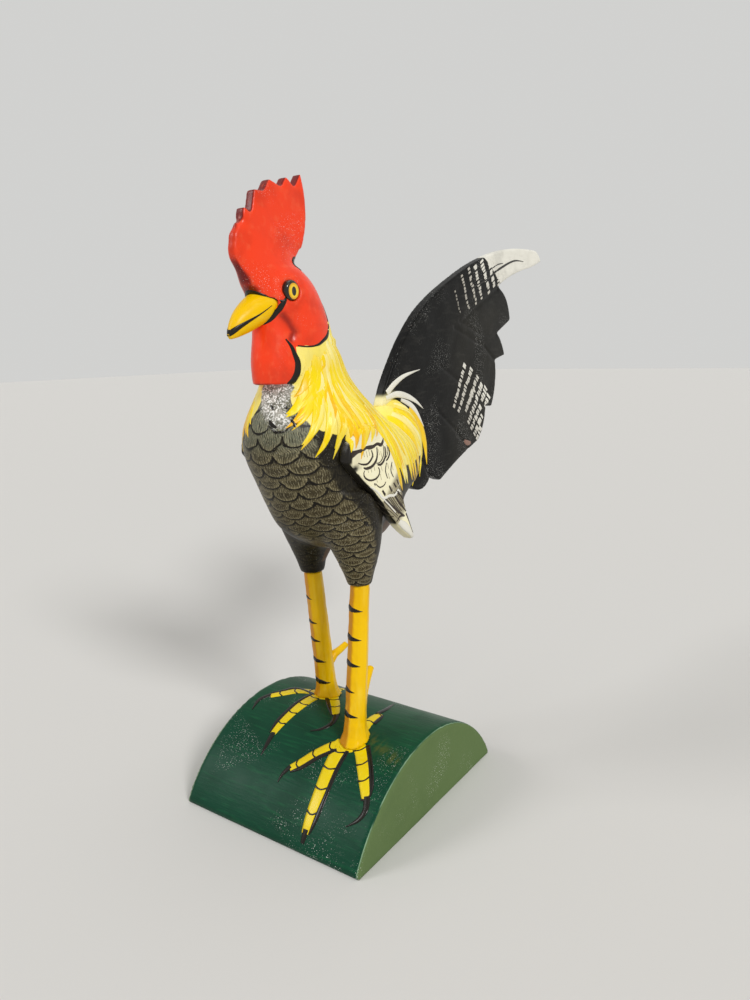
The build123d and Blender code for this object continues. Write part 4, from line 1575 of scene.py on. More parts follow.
FACE_LINES = (
    ((-17, 242.5, 0.25), (-14, 236, 0.35), (-14, 228, 0.5), (-18, 222, 0.95), (-22.2, 219.4, 0.8),
     (-26, 217.6, 0.55), (-31, 217, 0.35), (-36, 217.4, 0.3)),
    ((-41, 220.2, 0.3), (-39.1, 217.3, 0.8), (-37.9, 214, 1.1), (-36.9, 210.6, 1.35), (-37.2, 206.4, 1.5),
     (-38.8, 203.4, 1.4), (-41, 202.2, 0.7)),
    ((-39.6, 237.4, 0.4), (-41.4, 235.2, 0.8), (-43.1, 232.6, 1.3), (-44.5, 230.1, 1.4),
     (-45.7, 228.2, 1.3), (-46.8, 226.8, 1.1), (-47.8, 225.9, 0.7)),
)
# The left half of a line over the beak, from the middle, and of a dab behind the comb
BROW_LINE = ((0, 238.8, 1.0), (3, 238, 1.0), (6, 236.2, 0.95), (8, 235.3, 0.8), (9.6, 234.9, 0.5))
CROWN_DAB = ((0, 252.8, 2.2), (3.2, 251.2, 1.7), (5.6, 248.2, 0.5))
BEAK_LINES = (
    ((-46.2, 233.3, 0.12), (-51.4, 230.1, 0.3), (-57.1, 227.1, 0.65), (-60.6, 225.1, 0.95),
     (-62.8, 223.6, 1.2), (-63.8, 222.8, 1.2), (-64.2, 222.4, 1.1)),
)
BEAK_TIP = ((0, 224, 1.0), (0, 223, 1.7), (0, 222.2, 1.9), (0, 221.6, 1.5))
LINE_SHINE = paint("2a2620")


def whole(half):
    """A line from the right to the left, from its left half as (X, Z, half width)."""
    return [(-x, z, w) for x, z, w in half[:0:-1]] + list(half)


class GAMECOCK_OT_face_lines(bpy.types.Operator):
    """Draw the black lines of the face, the wattle and the beak"""

    bl_idname = "gamecock.face_lines"
    bl_label = "Face lines"

    def execute(self, context):
        ink = box().outline
        black = stroke_paint("line_black", ink, ink, LINE_SHINE, gloss=0.2)
        with Canvas("red_head", "carved_body") as canvas:
            strokes = canvas.on_both_sides(FACE_LINES)
            strokes += canvas.drawn(from_back, [whole(CROWN_DAB)])
            strokes += canvas.drawn(from_front, [whole(BROW_LINE)])
            canvas.lay("face_lines", strokes, black, "black_paint", height=1.5)
        with Canvas("carved_beak") as canvas:
            strokes = canvas.on_both_sides(BEAK_LINES) + canvas.drawn(from_front, [BEAK_TIP])
            canvas.lay("beak_lines", strokes, black, "black_paint", height=1.2)
        return {"FINISHED"}


# Neck strokes by angle from the front, left positive: their tips, their tops and how far they sweep forward

HACKLE_TIPS = (
    (-180, 189), (-140, 184), (-112, 176), (-95, 171), (-60, 168.5), (-40, 169.5), (-26, 173), (-18, 177),
    (-12, 180.5), (-8, 183), (-5, 187), (17, 188), (20, 186.5), (24, 180), (28, 173), (34, 170.5),
    (40, 168.5), (56, 168), (75, 169.5), (95, 171), (112, 176), (140, 184), (180, 189),
)
HACKLE_TOPS = ((0, 199), (36, 200), (60, 210), (100, 212), (130, 222), (180, 233))
HACKLE_SWEEP = (
    (-120, 0), (-85, -12), (-60, -22), (-40, -18), (-12, -6), (12, 6), (26, 9), (34, 17), (45, 26),
    (60, 24), (85, 12), (120, 0),
)
HACKLE_RISES = (0, 4.5, 11.5, 18.5, 25, 31, 37)
HACKLE_ROUND = 44
HACKLE_JITTER = 0.35
HACKLE_SWAY = (0.8, 1.1)
HACKLE_RAGGED = (-2.5, 2.5)
HACKLE_TOP_RAGGED = (-6, 4)
HACKLE_LENGTH = (20, 30)
HACKLE_SHORTEST = 6
HACKLE_WIDTH = (1.5, 2.5)
HACKLE_POINTS = 7
HACKLE_LAYER = 0.15
HACKLE_TINT = 0.12
HACKLE_TINT_STEP = 0.02
STROKE_TINTS = (1.8, 1.7)
STROKE_TINT_RANGE = 0.75
THROAT_EDGES = (-11, 25)
NECK_AXIS = ((150, 0), (180, -12), (217, -24), (242, -29))
THROAT_DABS = (
    ((4.6, 187.6, 0.4), (6.2, 185.8, 0.9), (8.2, 184.8, 0.4)),
    ((12.4, 187.8, 0.3), (13.7, 186.4, 1.0), (14.6, 184.6, 0.5)),
    ((3.4, 193.6, 0.3), (4.4, 192.4, 0.6), (5, 191.6, 0.3)),
)


def neck_point(canvas, turn, z):
    """The surface at an angle from the front, in degrees, and a height."""
    way = Vector((math.sin(math.radians(turn)), -math.cos(math.radians(turn)), 0))
    middle = Vector((0, read(NECK_AXIS, z), z))
    return canvas.dropped(middle + SIDE_OFF * way, -way)


def hackle_strokes(canvas, chance):
    """Rows of pointed strokes round the neck, the lowest first."""
    made = []
    for row, rise in enumerate(HACKLE_RISES):
        for k in range(HACKLE_ROUND):
            place = k + 0.5 * (row % 2) + chance.uniform(-HACKLE_JITTER, HACKLE_JITTER)
            turn = 360 * place / HACKLE_ROUND - 180
            if between(*THROAT_EDGES, turn):
                continue
            sweep = read(HACKLE_SWEEP, turn) * chance.uniform(*HACKLE_SWAY)
            tip = read(HACKLE_TIPS, turn - sweep) + rise + chance.uniform(*HACKLE_RAGGED)
            limit = read(HACKLE_TOPS, abs(turn)) + chance.uniform(*HACKLE_TOP_RAGGED)
            top = min(tip + chance.uniform(*HACKLE_LENGTH), limit)
            if top - tip < HACKLE_SHORTEST:
                continue
            along = np.linspace(0, 1, HACKLE_POINTS)
            points = [neck_point(canvas, turn - sweep * t * t, top + (tip - top) * t) for t in along]
            spread = chance.betavariate(*STROKE_TINTS) * STROKE_TINT_RANGE
            tint = HACKLE_TINT + spread + HACKLE_TINT_STEP * row
            made += pointed(points, chance.uniform(*HACKLE_WIDTH), tint, 1 + HACKLE_LAYER * row)
    return made


# Strokes on the wings: the place and height of each tip, and the height it starts at

WING_TIPS = (
    (-29.2, 173.4, 182), (-25.6, 174.6, 187), (-22, 169.8, 191), (-18.2, 175.6, 191),
    (-14.3, 176.2, 191), (-10.1, 178.2, 191), (-6.4, 180, 191),
)
WING_LAYERS = (0.0, 4.6)
WING_LAYER_BACK = 0.5
WING_LEAN = 0.2
WING_SHORTEST = 6
WING_FULLNESS = 0.14
WING_STROKE_WIDTH = (1.7, 2.3)
WING_JITTER = 0.4
WING_POINTS = 9
WING_TINT = 0.08
WING_HEIGHT = 1.3
WING_HEIGHT_STEP = 0.1


def wing_hackle_strokes(canvas, chance):
    """The ends of the neck's strokes that lie on the wings."""
    made = []
    for side in SIDES:
        for rise in WING_LAYERS:
            for y, z, top in WING_TIPS:
                shift = chance.uniform(-WING_JITTER, WING_JITTER) + WING_LAYER_BACK * rise
                end = Vector((y + shift, z + rise))
                if top - end.y < WING_SHORTEST:
                    continue
                start = Vector((end.x + WING_LEAN * (top - end.y), top))
                bend = Vector((start.x, (start.y + end.y) / 2))
                along = np.linspace(0, 1, WING_POINTS)
                spots = [start.lerp(bend, t).lerp(bend.lerp(end, t), t) for t in along]
                tint = WING_TINT + chance.betavariate(*STROKE_TINTS) * STROKE_TINT_RANGE
                wide = min(chance.uniform(*WING_STROKE_WIDTH), WING_FULLNESS * (top - end.y))
                height = WING_HEIGHT + WING_HEIGHT_STEP * rise
                made += pointed(canvas.seats(from_side(side), spots), wide, tint, height)
    return made


# Saddle strokes fan out between the first and the last line; plumes and white strokes lie by the tail's root

SADDLE_FIRST = ((-3, 186.5), (0, 176), (7, 163), (17, 148))
SADDLE_LAST = ((38, 190.5), (57, 184), (70, 171), (78, 154))
SADDLE_LAYERS = 3
SADDLE_STROKES = 14
SADDLE_JITTER = (0.1, 0.9)
SADDLE_START = (0.0, 0.16)
SADDLE_START_STEP = 0.2
SADDLE_END = (0.92, 1.06)
SADDLE_END_STEP = 0.14
SADDLE_WIDTH = (1.4, 2.2)
SADDLE_TINT = 0.15
SADDLE_TINTS = (2, 1.6)
SADDLE_TINT_RANGE = 0.8
SADDLE_HEIGHT = 2
SADDLE_HEIGHT_STEP = 0.4
SADDLE_POINTS = 6
TAIL_PLUMES = (
    (((62, 184, 1.2), (68.4, 179.4, 2.2), (74, 172.4, 2.5), (77.8, 163, 2.0), (79.8, 151.4, 0.15)), 0.25),
    (((66, 176, 1.2), (71.6, 168, 2.2), (73.4, 158, 1.8), (72, 145.6, 0.15)), 0.5),
    (((62, 168, 1.4), (67, 157, 2.0), (66.6, 148.6, 1.4), (64.4, 141.6, 0.15)), 0.35),
)
TAIL_WHITES = (
    ((35, 189, 1.3), (41, 193, 1.8), (48, 197.4, 1.7), (58, 201.2, 1.1), (73, 203.8, 0.15)),
    ((40, 190.6, 1.2), (50, 192, 1.8), (60, 190.4, 1.6), (69, 187, 1.0), (76, 182.8, 0.15)),
    ((54, 189, 0.9), (63, 185.8, 1.5), (70, 180.8, 1.2), (76.5, 173, 0.15)),
)
WHITE_LOW = paint("b9b4a4")
WHITE_HIGH = paint("f8f6ee")


def along_line(values, share):
    """A value part of the way along evenly spaced ones, carried on straight past the last."""
    last = len(values) - 1
    beyond = max(0.0, share - 1) * last * (values[-1] - values[-2])
    return np.interp(share * last, range(last + 1), values) + beyond


def saddle_strokes(canvas, side, chance):
    """A fan of strokes from the back over the flank and the root of the tail."""
    made = []
    for layer in range(SADDLE_LAYERS):
        for k in range(SADDLE_STROKES):
            share = (k + chance.uniform(*SADDLE_JITTER)) / SADDLE_STROKES
            start = chance.uniform(*SADDLE_START) + SADDLE_START_STEP * layer
            end = chance.uniform(*SADDLE_END) - SADDLE_END_STEP * (SADDLE_LAYERS - 1 - layer)
            spots = [
                [
                    along_line(first, t) * (1 - share) + along_line(last, t) * share
                    for first, last in zip(zip(*SADDLE_FIRST), zip(*SADDLE_LAST))
                ]
                for t in np.linspace(start, end, SADDLE_POINTS)
            ]
            tint = SADDLE_TINT + chance.betavariate(*SADDLE_TINTS) * SADDLE_TINT_RANGE
            points = canvas.seats(from_side(side), spots)
            height = SADDLE_HEIGHT - SADDLE_HEIGHT_STEP * layer
            made += pointed(points, chance.uniform(*SADDLE_WIDTH), tint, height)
    return made


class GAMECOCK_OT_hackle(bpy.types.Operator):
    """Brush the yellow feathers of the neck and the saddle, and the white ones by the tail"""

    bl_idname = "gamecock.hackle"
    bl_label = "Hackle and saddle"

    def execute(self, context):
        chips = box()
        chance = random.Random(SEED)
        yellow = stroke_paint("hackle_yellow", chips.hackle_deep, chips.hackle_mid, chips.hackle_pale)
        with Canvas("carved_body", "red_head") as canvas:
            strokes = canvas.drawn(from_front, THROAT_DABS)
            canvas.lay("throat_dabs", strokes, bpy.data.materials["line_black"], "black_paint", height=1.2)
            canvas.lay("hackle", hackle_strokes(canvas, chance), yellow, "yellow_paint")
        with Canvas("carved_left_wing", "carved_right_wing", "carved_body") as canvas:
            canvas.lay("wing_hackle", wing_hackle_strokes(canvas, chance), yellow, "yellow_paint")
        with Canvas("carved_body", "carved_tail") as canvas:
            strokes = [stroke for side in SIDES for stroke in saddle_strokes(canvas, side, chance)]
            for side in SIDES:
                for plume, tint in TAIL_PLUMES:
                    strokes += canvas.drawn(from_side(side), [plume], tint)
            canvas.lay("saddle", strokes, yellow, "yellow_paint")
            white = stroke_paint("stroke_white", WHITE_LOW, chips.white, WHITE_HIGH)
            canvas.lay("tail_whites", canvas.on_both_sides(TAIL_WHITES), white, "cream_paint", height=2.4)
        return {"FINISHED"}


# Lines, white edges and fine stripes of the wings in side view

WING_LINES = (
    ((-29, 172.4, 1.7), (-26.4, 172.9, 1.2), (-24, 173.3, 0.8), (-21, 173.4, 0.9), (-18.1, 174.2, 0.7),
     (-15.4, 174, 1.0), (-12.7, 174.1, 0.8), (-9.9, 174.9, 0.7), (-7.1, 174.1, 0.9), (-5.6, 175.4, 0.8),
     (-3.8, 178, 0.4)),
    ((-14.4, 172.6, 0.3), (-13.5, 170.3, 0.5), (-15, 168.5, 0.55), (-17.7, 167.1, 0.5),
     (-21.7, 167.5, 0.4), (-24.3, 168.4, 0.2)),
    ((-10.3, 173.4, 0.3), (-10.1, 170.2, 0.5), (-11.2, 167.6, 0.7), (-14.4, 165.6, 0.7),
     (-18.5, 165.2, 0.6), (-20.5, 165.9, 0.3)),
    ((-4.3, 173.1, 0.3), (-3.7, 169.8, 0.5), (-4.9, 167.1, 0.65), (-7.4, 165.5, 0.6),
     (-10.2, 165.8, 0.3)),
    ((-1.2, 172.6, 0.3), (-0.4, 169.8, 0.5), (-1.7, 167.5, 0.5), (-3.4, 166.6, 0.3)),
    ((-19.9, 164.5, 0.2), (-20.6, 163, 0.35), (-19.3, 161.2, 0.4), (-16, 159.7, 0.45),
     (-11.9, 159.7, 0.45), (-9.4, 160.9, 0.4), (-8.6, 162.8, 0.35), (-9.6, 164.5, 0.2)),
    ((-3.1, 165.7, 0.2), (-4.1, 162.1, 0.3), (-2.6, 158.6, 0.2)),
    ((-12, 157.6, 0.2), (-8.9, 155.5, 0.3), (-5.6, 155.8, 0.3), (-4.1, 157.2, 0.2)),
    ((1.2, 165.4, 0.2), (0.2, 161.6, 0.3), (2.2, 158.4, 0.25)),
    ((-4.9, 149.4, 0.35), (2.5, 144.1, 0.55), (10.3, 138.9, 0.6)),
    ((3, 149.6, 0.4), (7.9, 144.7, 0.55), (12.3, 140.8, 0.4)),
    ((4.5, 151.8, 0.4), (10.5, 146.8, 0.5)),
    ((12.3, 139.7, 0.5), (15, 135.8, 0.55), (19, 129, 0.4)),
    ((4.8, 137.2, 0.3), (6.9, 139.2, 0.5), (11, 138.7, 0.4)),
    ((-12.8, 157.9, 0.4), (-12.4, 156.9, 0.3)),
    ((-6.8, 153.7, 0.6), (-4.7, 151.3, 0.7)),
    ((-1.3, 154.9, 0.5), (0.7, 152.1, 0.6)),
    ((2.4, 155.7, 0.4), (4.4, 153.4, 0.5)),
    ((5.1, 156.8, 0.35), (6.4, 154.4, 0.4)),
)
WING_WHITES = (
    ((-15.5, 156.8, 0.3), (-10.6, 153.8, 0.5), (-5.9, 150, 0.7), (-1.5, 150.4, 0.7), (3.4, 149.9, 0.7),
     (5.7, 151.9, 0.6), (7.6, 150.7, 0.4)),
    ((6.6, 136.6, 1.3), (11, 133.6, 2.3), (16, 129.6, 1.5), (19.8, 126.2, 0.4)),
    ((-9, 152, 0.3), (-3, 147.4, 0.45), (3.4, 141.8, 0.35)),
)
QUILL_STARTS = (Vector((-9, 148.6)), Vector((6.5, 155)))
QUILL_ENDS = (Vector((6.4, 137)), Vector((14, 142.6)))
QUILLS = 15
QUILL_JITTER = 0.2
QUILL_FIRST = (0, 0.2)
QUILL_LAST = (0.7, 1.0)
QUILL_WIDTH = (0.14, 0.32)
QUILL_TINT = 0.3
COVERT_RAYS = (
    (-19.6, 170.4), (-17.4, 170), (-15.6, 170.4), (-13, 169.4), (-8.4, 169.8), (-6.6, 168.6), (-2.6, 170),
    (-17, 163.2), (-14.6, 163), (-12.2, 163.4), (-6.6, 162.4), (-1.4, 162.6), (-10.6, 158), (-7.4, 158.6),
    (-1, 158), (2, 161.6),
)
COVERT_RUN = (-0.9, 2.8)
COVERT_WIDTHS = (0.16, 0.1)
COVERT_TINT = 0.95
# The wing lines that have a thinner one inside, and how far it is set in
COVERTS = slice(3, 5)
COVERT_INSET = (-1.3, 0.9, 0.45)
INSET_TINT = 0.9
INK_BROWN = paint("33281f")


def quill_strokes(canvas, side, chance):
    """Thin broken stripes along the flight feathers and the coverts."""
    lines = []
    for k in range(QUILLS):
        share = (k + chance.uniform(-QUILL_JITTER, QUILL_JITTER)) / (QUILLS - 1)
        start = QUILL_STARTS[0].lerp(QUILL_STARTS[1], share)
        end = QUILL_ENDS[0].lerp(QUILL_ENDS[1], share)
        first, last = chance.uniform(*QUILL_FIRST), chance.uniform(*QUILL_LAST)
        half_width = chance.uniform(*QUILL_WIDTH)
        lines.append([(*start.lerp(end, t), half_width) for t in (first, (first + last) / 2, last)])
    thick, thin = COVERT_WIDTHS
    rays = [((y, z, thick), (y + COVERT_RUN[0], z + COVERT_RUN[1], thin)) for y, z in COVERT_RAYS]
    view = from_side(side)
    return canvas.drawn(view, lines, QUILL_TINT) + canvas.drawn(view, rays, COVERT_TINT)


class GAMECOCK_OT_wing_lines(bpy.types.Operator):
    """Draw the feathers of the wings"""

    bl_idname = "gamecock.wing_lines"
    bl_label = "Wing lines"

    def execute(self, context):
        chips = box()
        chance = random.Random(SEED + 1)
        white = bpy.data.materials["stroke_white"]
        brown = stroke_paint("quill_brown", chips.quill, chips.quill, chips.wing_shade)
        ink = stroke_paint("wing_ink", chips.outline, INK_BROWN, chips.quill)
        back, up, thinner = COVERT_INSET
        inner = [[(y + back, z + up, thinner * w) for y, z, w in line] for line in WING_LINES[COVERTS]]
        with Canvas("carved_left_wing", "carved_right_wing", "carved_body") as canvas:
            strokes = [stroke for side in SIDES for stroke in quill_strokes(canvas, side, chance)]
            canvas.lay("wing_quills", strokes, brown, "cream_paint", height=0.7)
            canvas.lay("wing_whites", canvas.on_both_sides(WING_WHITES), white, "cream_paint", height=1.2)
            strokes = canvas.on_both_sides(WING_LINES) + canvas.on_both_sides(inner, INSET_TINT)
            canvas.lay("wing_lines", strokes, ink, "black_paint", height=1.4)
        return {"FINISHED"}


# Columns of white dabs on the tail: start, end, half width and tint

TAIL_BARS = (
    ((113, 246.4), (119, 234.4), 0.5, 0.25),
    ((120.7, 256), (129.9, 236), 0.8, 0.45),
    ((129, 259.7), (139.4, 239.6), 1.0, 0.7),
    ((137, 262.6), (146.2, 242.7), 1.2, 0.85),
    ((145.7, 265.6), (156.5, 247), 1.4, 0.95),
    ((154.9, 266.8), (163.6, 250.4), 1.5, 1.0),
    ((163, 268), (170.4, 252.4), 1.6, 1.0),
    ((125, 205), (110, 179.4), 1.1, 0.85),
    ((133.2, 202.5), (116.5, 177), 1.2, 0.85),
    ((140.7, 197.5), (125.7, 177), 1.2, 0.8),
    ((147, 193), (141, 185.5), 1.6, 1.0),
    ((152.6, 189.6), (146, 181), 1.7, 1.0),
    ((156, 184.6), (151, 177.4), 1.7, 1.0),
    ((136.5, 189.4), (126.5, 177.7), 1.2, 0.8),
    ((141.5, 185), (128, 169), 1.3, 0.85),
    ((145.4, 179.2), (132, 165), 1.4, 0.9),
    ((147, 172.6), (136, 160.8), 1.4, 0.9),
    ((146, 166), (140, 157.6), 1.3, 0.9),
)
BAR_PITCH = 2.0
BAR_FULLNESS = 1.9
BAR_FADE = 0.3
DAB_JITTER = 0.12
DAB_LENGTH = (0.55, 0.85)
DAB_SHIFT = (-0.5, 0.5)
DAB_RAGGED = (0.7, 1.1)
DAB_SHAPE = (0.95, 1.1, 0.9)
TAIL_LINES = (
    ((131.5, 248.6, 0.4), (153.2, 255.2, 0.6), (166.5, 261, 0.8), (190, 268.4, 0.6), (206, 269.4, 0.2)),
    ((160, 262, 0.3), (167, 264.6, 0.4), (175, 266, 0.2)),
)
WORN_SPOT = ((124, 159.6, 0.8), (128, 157.8, 1.7), (132, 157.4, 0.8))
DAB_CHIPS = (paint("6d675e"), paint("bdb7ab"))
WORN_CHIPS = (paint("5d3f36"), paint("8c6a5c"), paint("b08f80"))


def tail_dabs(canvas, side, chance):
    """Columns of dabs that thin out towards their lower ends."""
    made = []
    for start, end, half_width, tint in TAIL_BARS:
        start, end = Vector(start), Vector(end)
        count = max(2, round((end - start).length / BAR_PITCH))
        for k in range(count):
            share = (k + chance.uniform(-DAB_JITTER, DAB_JITTER)) / count
            fade = 1 - BAR_FADE * k / count
            run = chance.uniform(*DAB_LENGTH) / count
            shift = Vector((chance.uniform(*DAB_SHIFT), chance.uniform(*DAB_SHIFT)))
            spots = [start.lerp(end, share + t * run) + shift for t in (0, 0.5, 1)]
            widths = [BAR_FULLNESS * half_width * fade * s * chance.uniform(*DAB_RAGGED) for s in DAB_SHAPE]
            line = [(*spot, w) for spot, w in zip(spots, widths)]
            made += canvas.drawn(from_side(side), [line], tint * fade)
    return made


class GAMECOCK_OT_tail_bars(bpy.types.Operator):
    """Dab the white bars of the tail"""

    bl_idname = "gamecock.tail_bars"
    bl_label = "Tail bars"

    def execute(self, context):
        chance = random.Random(SEED + 2)
        white = stroke_paint("dab_white", *DAB_CHIPS, box().white)
        worn = stroke_paint("worn_wood", *WORN_CHIPS)
        black = bpy.data.materials["line_black"]
        with Canvas("carved_tail") as canvas:
            strokes = [stroke for side in SIDES for stroke in tail_dabs(canvas, side, chance)]
            canvas.lay("tail_bars", strokes, white, "cream_paint")
            canvas.lay("tail_lines", canvas.on_both_sides(TAIL_LINES), black, "black_paint", height=1.5)
            spot = canvas.drawn(from_side(1), [WORN_SPOT])
            canvas.lay("worn_spot", spot, worn, "black_paint", height=0.6)
        return {"FINISHED"}


# Toes in plan as (X, Y, half width), from the leg to the tip, each with its claw

TOES = (
    ((19.5, -19, 2.8), (17.4, -26, 3.4), (18.3, -35.2, 3.2), (19.8, -44.9, 2.9), (20.3, -52.7, 2.4),
     (20.5, -56.4, 1.8)),
    ((20.5, -17, 2.6), (26.1, -22, 3.0), (33.9, -30.4, 2.7), (39.7, -37.3, 2.3), (42.5, -40.8, 1.8)),
    ((18, -20, 2.4), (13.9, -24.5, 2.4), (7.5, -31.1, 2.1), (2.9, -36.8, 1.9), (-1.1, -40.5, 1.5)),
    ((20, -13, 2.4), (19.5, -5.2, 2.4), (19.3, 0.6, 2.2), (19.6, 4.4, 1.7)),
    ((-18.5, 9.5, 2.6), (-23.4, 7.2, 2.9), (-31.7, 2.6, 2.7), (-36.5, -3.2, 2.4), (-41.4, -8.8, 1.8)),
    ((-17.5, 9, 2.6), (-19.6, 4.2, 3.0), (-20.6, -6.3, 2.9), (-21, -16, 2.5), (-21.3, -23.5, 2.2),
     (-21.3, -29.6, 1.6)),
    ((-16, 10, 2.4), (-11.7, 6.8, 2.7), (-4.9, -0.4, 2.4), (0.8, -7.4, 1.8)),
    ((-17, 13, 2.2), (-18.4, 19, 2.2), (-20, 25, 1.7)),
)
CLAWS = (
    ((20.4, -55.4, 1.7), (20.6, -58.6, 1.0), (20.4, -60.4, 0.2)),
    ((42.6, -40, 1.7), (44.8, -44.3, 1.4), (43.4, -47.9, 1.0), (39, -50.9, 0.2)),
    ((-1.1, -39.8, 1.3), (-3.2, -43.4, 0.9), (-3.6, -46.5, 0.2)),
    ((18.2, 4.6, 1.5), (18.2, 12, 1.2), (15.3, 23, 0.2)),
    ((-42, -7.9, 1.6), (-44.6, -13.9, 1.2), (-42.8, -21.4, 0.2)),
    ((-21.3, -29, 1.5), (-20.3, -36.1, 1.0), (-19.8, -40, 0.2)),
    ((1.2, -7.2, 1.6), (3.4, -13.6, 1.4), (1.1, -18.9, 1.0), (-3.4, -22.2, 0.2)),
    ((-20, 24.6, 1.4), (-21.6, 29, 0.9), (-21.6, 33, 0.2)),
)
WEBS = (
    ((12.5, -22.5, 1.6), (16.5, -23.2, 3.2), (21, -23.6, 3.4), (25.6, -20.4, 2.4)),
    ((20.6, -12, 2.6), (20, -8, 2.6)),
    ((-23, 6.4, 1.6), (-19.4, 4.6, 3.0), (-15, 4.4, 3.0), (-11.4, 7, 2.0)),
)
TOE_FULLNESS = 1.12
TOE_BAND_PITCH = 8.0
TOE_BAND_BOW = 1.0
TOE_BAND_WIDTH = 0.5
TOE_BAND_REACH = 0.97
TOE_SHADOW = 1.15
TOE_SHADOW_END = 0.4
TOE_CHIPS = (paint("c89a00"), paint("efd200"), paint("f6ea60"))


def toe_details(toe):
    """A toe's bands, and the shadow beside it: to the picture's right by the left foot, else to its left."""
    shaded = PICTURE_RIGHT if toe[0][0] > 0 else -PICTURE_RIGHT
    bands, shadow = [], []
    walked = 0.0
    for (x0, y0, w0), (x1, y1, w1) in zip(toe, toe[1:]):
        here, there = Vector((x0, y0)), Vector((x1, y1))
        run = (there - here).normalized()
        cross = Vector((-run.y, run.x))
        cross = cross if cross.dot(shaded) > 0 else -cross
        span = (there - here).length
        while walked < span:
            middle = here.lerp(there, walked / span)
            reach = cross * (w0 + (w1 - w0) * walked / span)
            band = []
            for s in (-TOE_BAND_REACH, 0, TOE_BAND_REACH):
                band.append((*(middle + reach * s + run * TOE_BAND_BOW * (1 - s * s)), TOE_BAND_WIDTH))
            bands.append(band)
            walked += TOE_BAND_PITCH
        walked -= span
        shadow.append((*(here + cross * (w0 + TOE_SHADOW / 3)), TOE_SHADOW))
    shadow.append((*(there + cross * w1), TOE_SHADOW_END))
    return bands[1:] + [shadow[1:]]


class GAMECOCK_OT_toes(bpy.types.Operator):
    """Paint the feet on the block"""

    bl_idname = "gamecock.toes"
    bl_label = "Toes"

    def execute(self, context):
        yellow = stroke_paint("toe_yellow", *TOE_CHIPS)
        black = bpy.data.materials["line_black"]
        toes = [[(x, y, TOE_FULLNESS * w) for x, y, w in toe] for toe in TOES]
        lines = [line for toe in toes for line in toe_details(toe)]
        with Canvas("block") as canvas:
            strokes = canvas.drawn(from_above, [*WEBS, *toes])
            canvas.lay("toes", strokes, yellow, "yellow_paint", height=1.5)
            strokes = canvas.drawn(from_above, [*lines, *CLAWS])
            canvas.lay("toe_lines", strokes, black, "black_paint", height=2.4)
        return {"FINISHED"}


# Each leg's axis at two heights, and the heights of its bands with their fullness

LEG_BANDS = (
    ((19.5, -17.3, 49.5), (19.9, -11.6, 99.4),
     ((99.4, 1.0), (86, 1.0), (73.7, 1.0), (61, 0.8), (49.5, 1.0))),
    ((-16.4, 8.6, 47.2), (-17.6, 3.1, 93.7),
     ((93.7, 0.6), (80.6, 0.7), (70.6, 0.75), (59.2, 0.9), (47.2, 1.0))),
)
# A band's half widths by angle round the leg, the angle it is centred on and how far it drops in 100 degrees
BAND_TURNS = ((-200, 0.3), (-170, 1.4), (-145, 1.6), (-110, 1.5), (-75, 1.0), (-32, 0.12))
BAND_EDGE = -145
BAND_SLOPE = 1.2
LEG_OFF = 12


def leg_band(canvas, middle, fullness):
    """One band round a leg, dropped on it from all round its middle."""
    points = []
    for turn, _ in BAND_TURNS:
        away = (turn - BAND_EDGE) * fullness
        way = Vector((math.cos(math.radians(BAND_EDGE + away)), math.sin(math.radians(BAND_EDGE + away)), 0))
        fall = Vector((0, 0, BAND_SLOPE * away / 100))
        points.append(canvas.dropped(middle - fall + way * LEG_OFF, -way))
    return landed(points, [w * fullness for _, w in BAND_TURNS], PLAIN_TINT)


class GAMECOCK_OT_leg_bands(bpy.types.Operator):
    """Paint the black bands of the legs"""

    bl_idname = "gamecock.leg_bands"
    bl_label = "Leg bands"

    def execute(self, context):
        strokes = []
        with Canvas("whittled_left_leg", "whittled_right_leg") as canvas:
            for low, high, bands in LEG_BANDS:
                for z, fullness in bands:
                    middle = Vector(low).lerp(Vector(high), (z - low[2]) / (high[2] - low[2]))
                    strokes += leg_band(canvas, middle, fullness)
            canvas.lay("leg_bands", strokes, bpy.data.materials["line_black"], "black_paint", height=1.5)
        return {"FINISHED"}


# Stage

FLOOR_REACH = 6.0
FLOOR_CHIP = paint("dcdad6")
FLOOR_ROUGHNESS = 0.7
# Each lamp's strength, its width in degrees and where it shines from
LAMPS = (
    ("key", 1.7, 14, (0.85, -0.35, 0.62)),
    ("fill", 0.8, 22, (-0.6, -0.6, 0.6)),
    ("top", 0.5, 40, (0.05, 0.2, 1.0)),
)
SKY_CHIP = paint("f2f2f0")
AMBIENT = 0.36
BACKGROUND = 0.72
CAMERA_PLACE = (216.6, -277.0, 216.0)
CAMERA_TURN = 35.0
CAMERA_DIP = 11.48
CAMERA_ROLL = -1.37
CAMERA_REACH = 0.751
CAMERA_NEAR = 0.01
SENSOR = 36.0


def pale_floor():
    """A wide pale floor under the block."""
    mesh = bpy.data.meshes.new("floor")
    far = FLOOR_REACH
    mesh.from_pydata([(-far, -far, 0), (far, -far, 0), (far, far, 0), (-far, far, 0)], [], [(0, 1, 2, 3)])
    material = bpy.data.materials.new("pale_floor")
    material.use_nodes = True
    shader = material.node_tree.nodes["Principled BSDF"].inputs
    shader["Base Color"].default_value = rgba(FLOOR_CHIP)
    shader["Roughness"].default_value = FLOOR_ROUGHNESS
    mesh.materials.append(material)
    return linked("floor", mesh)


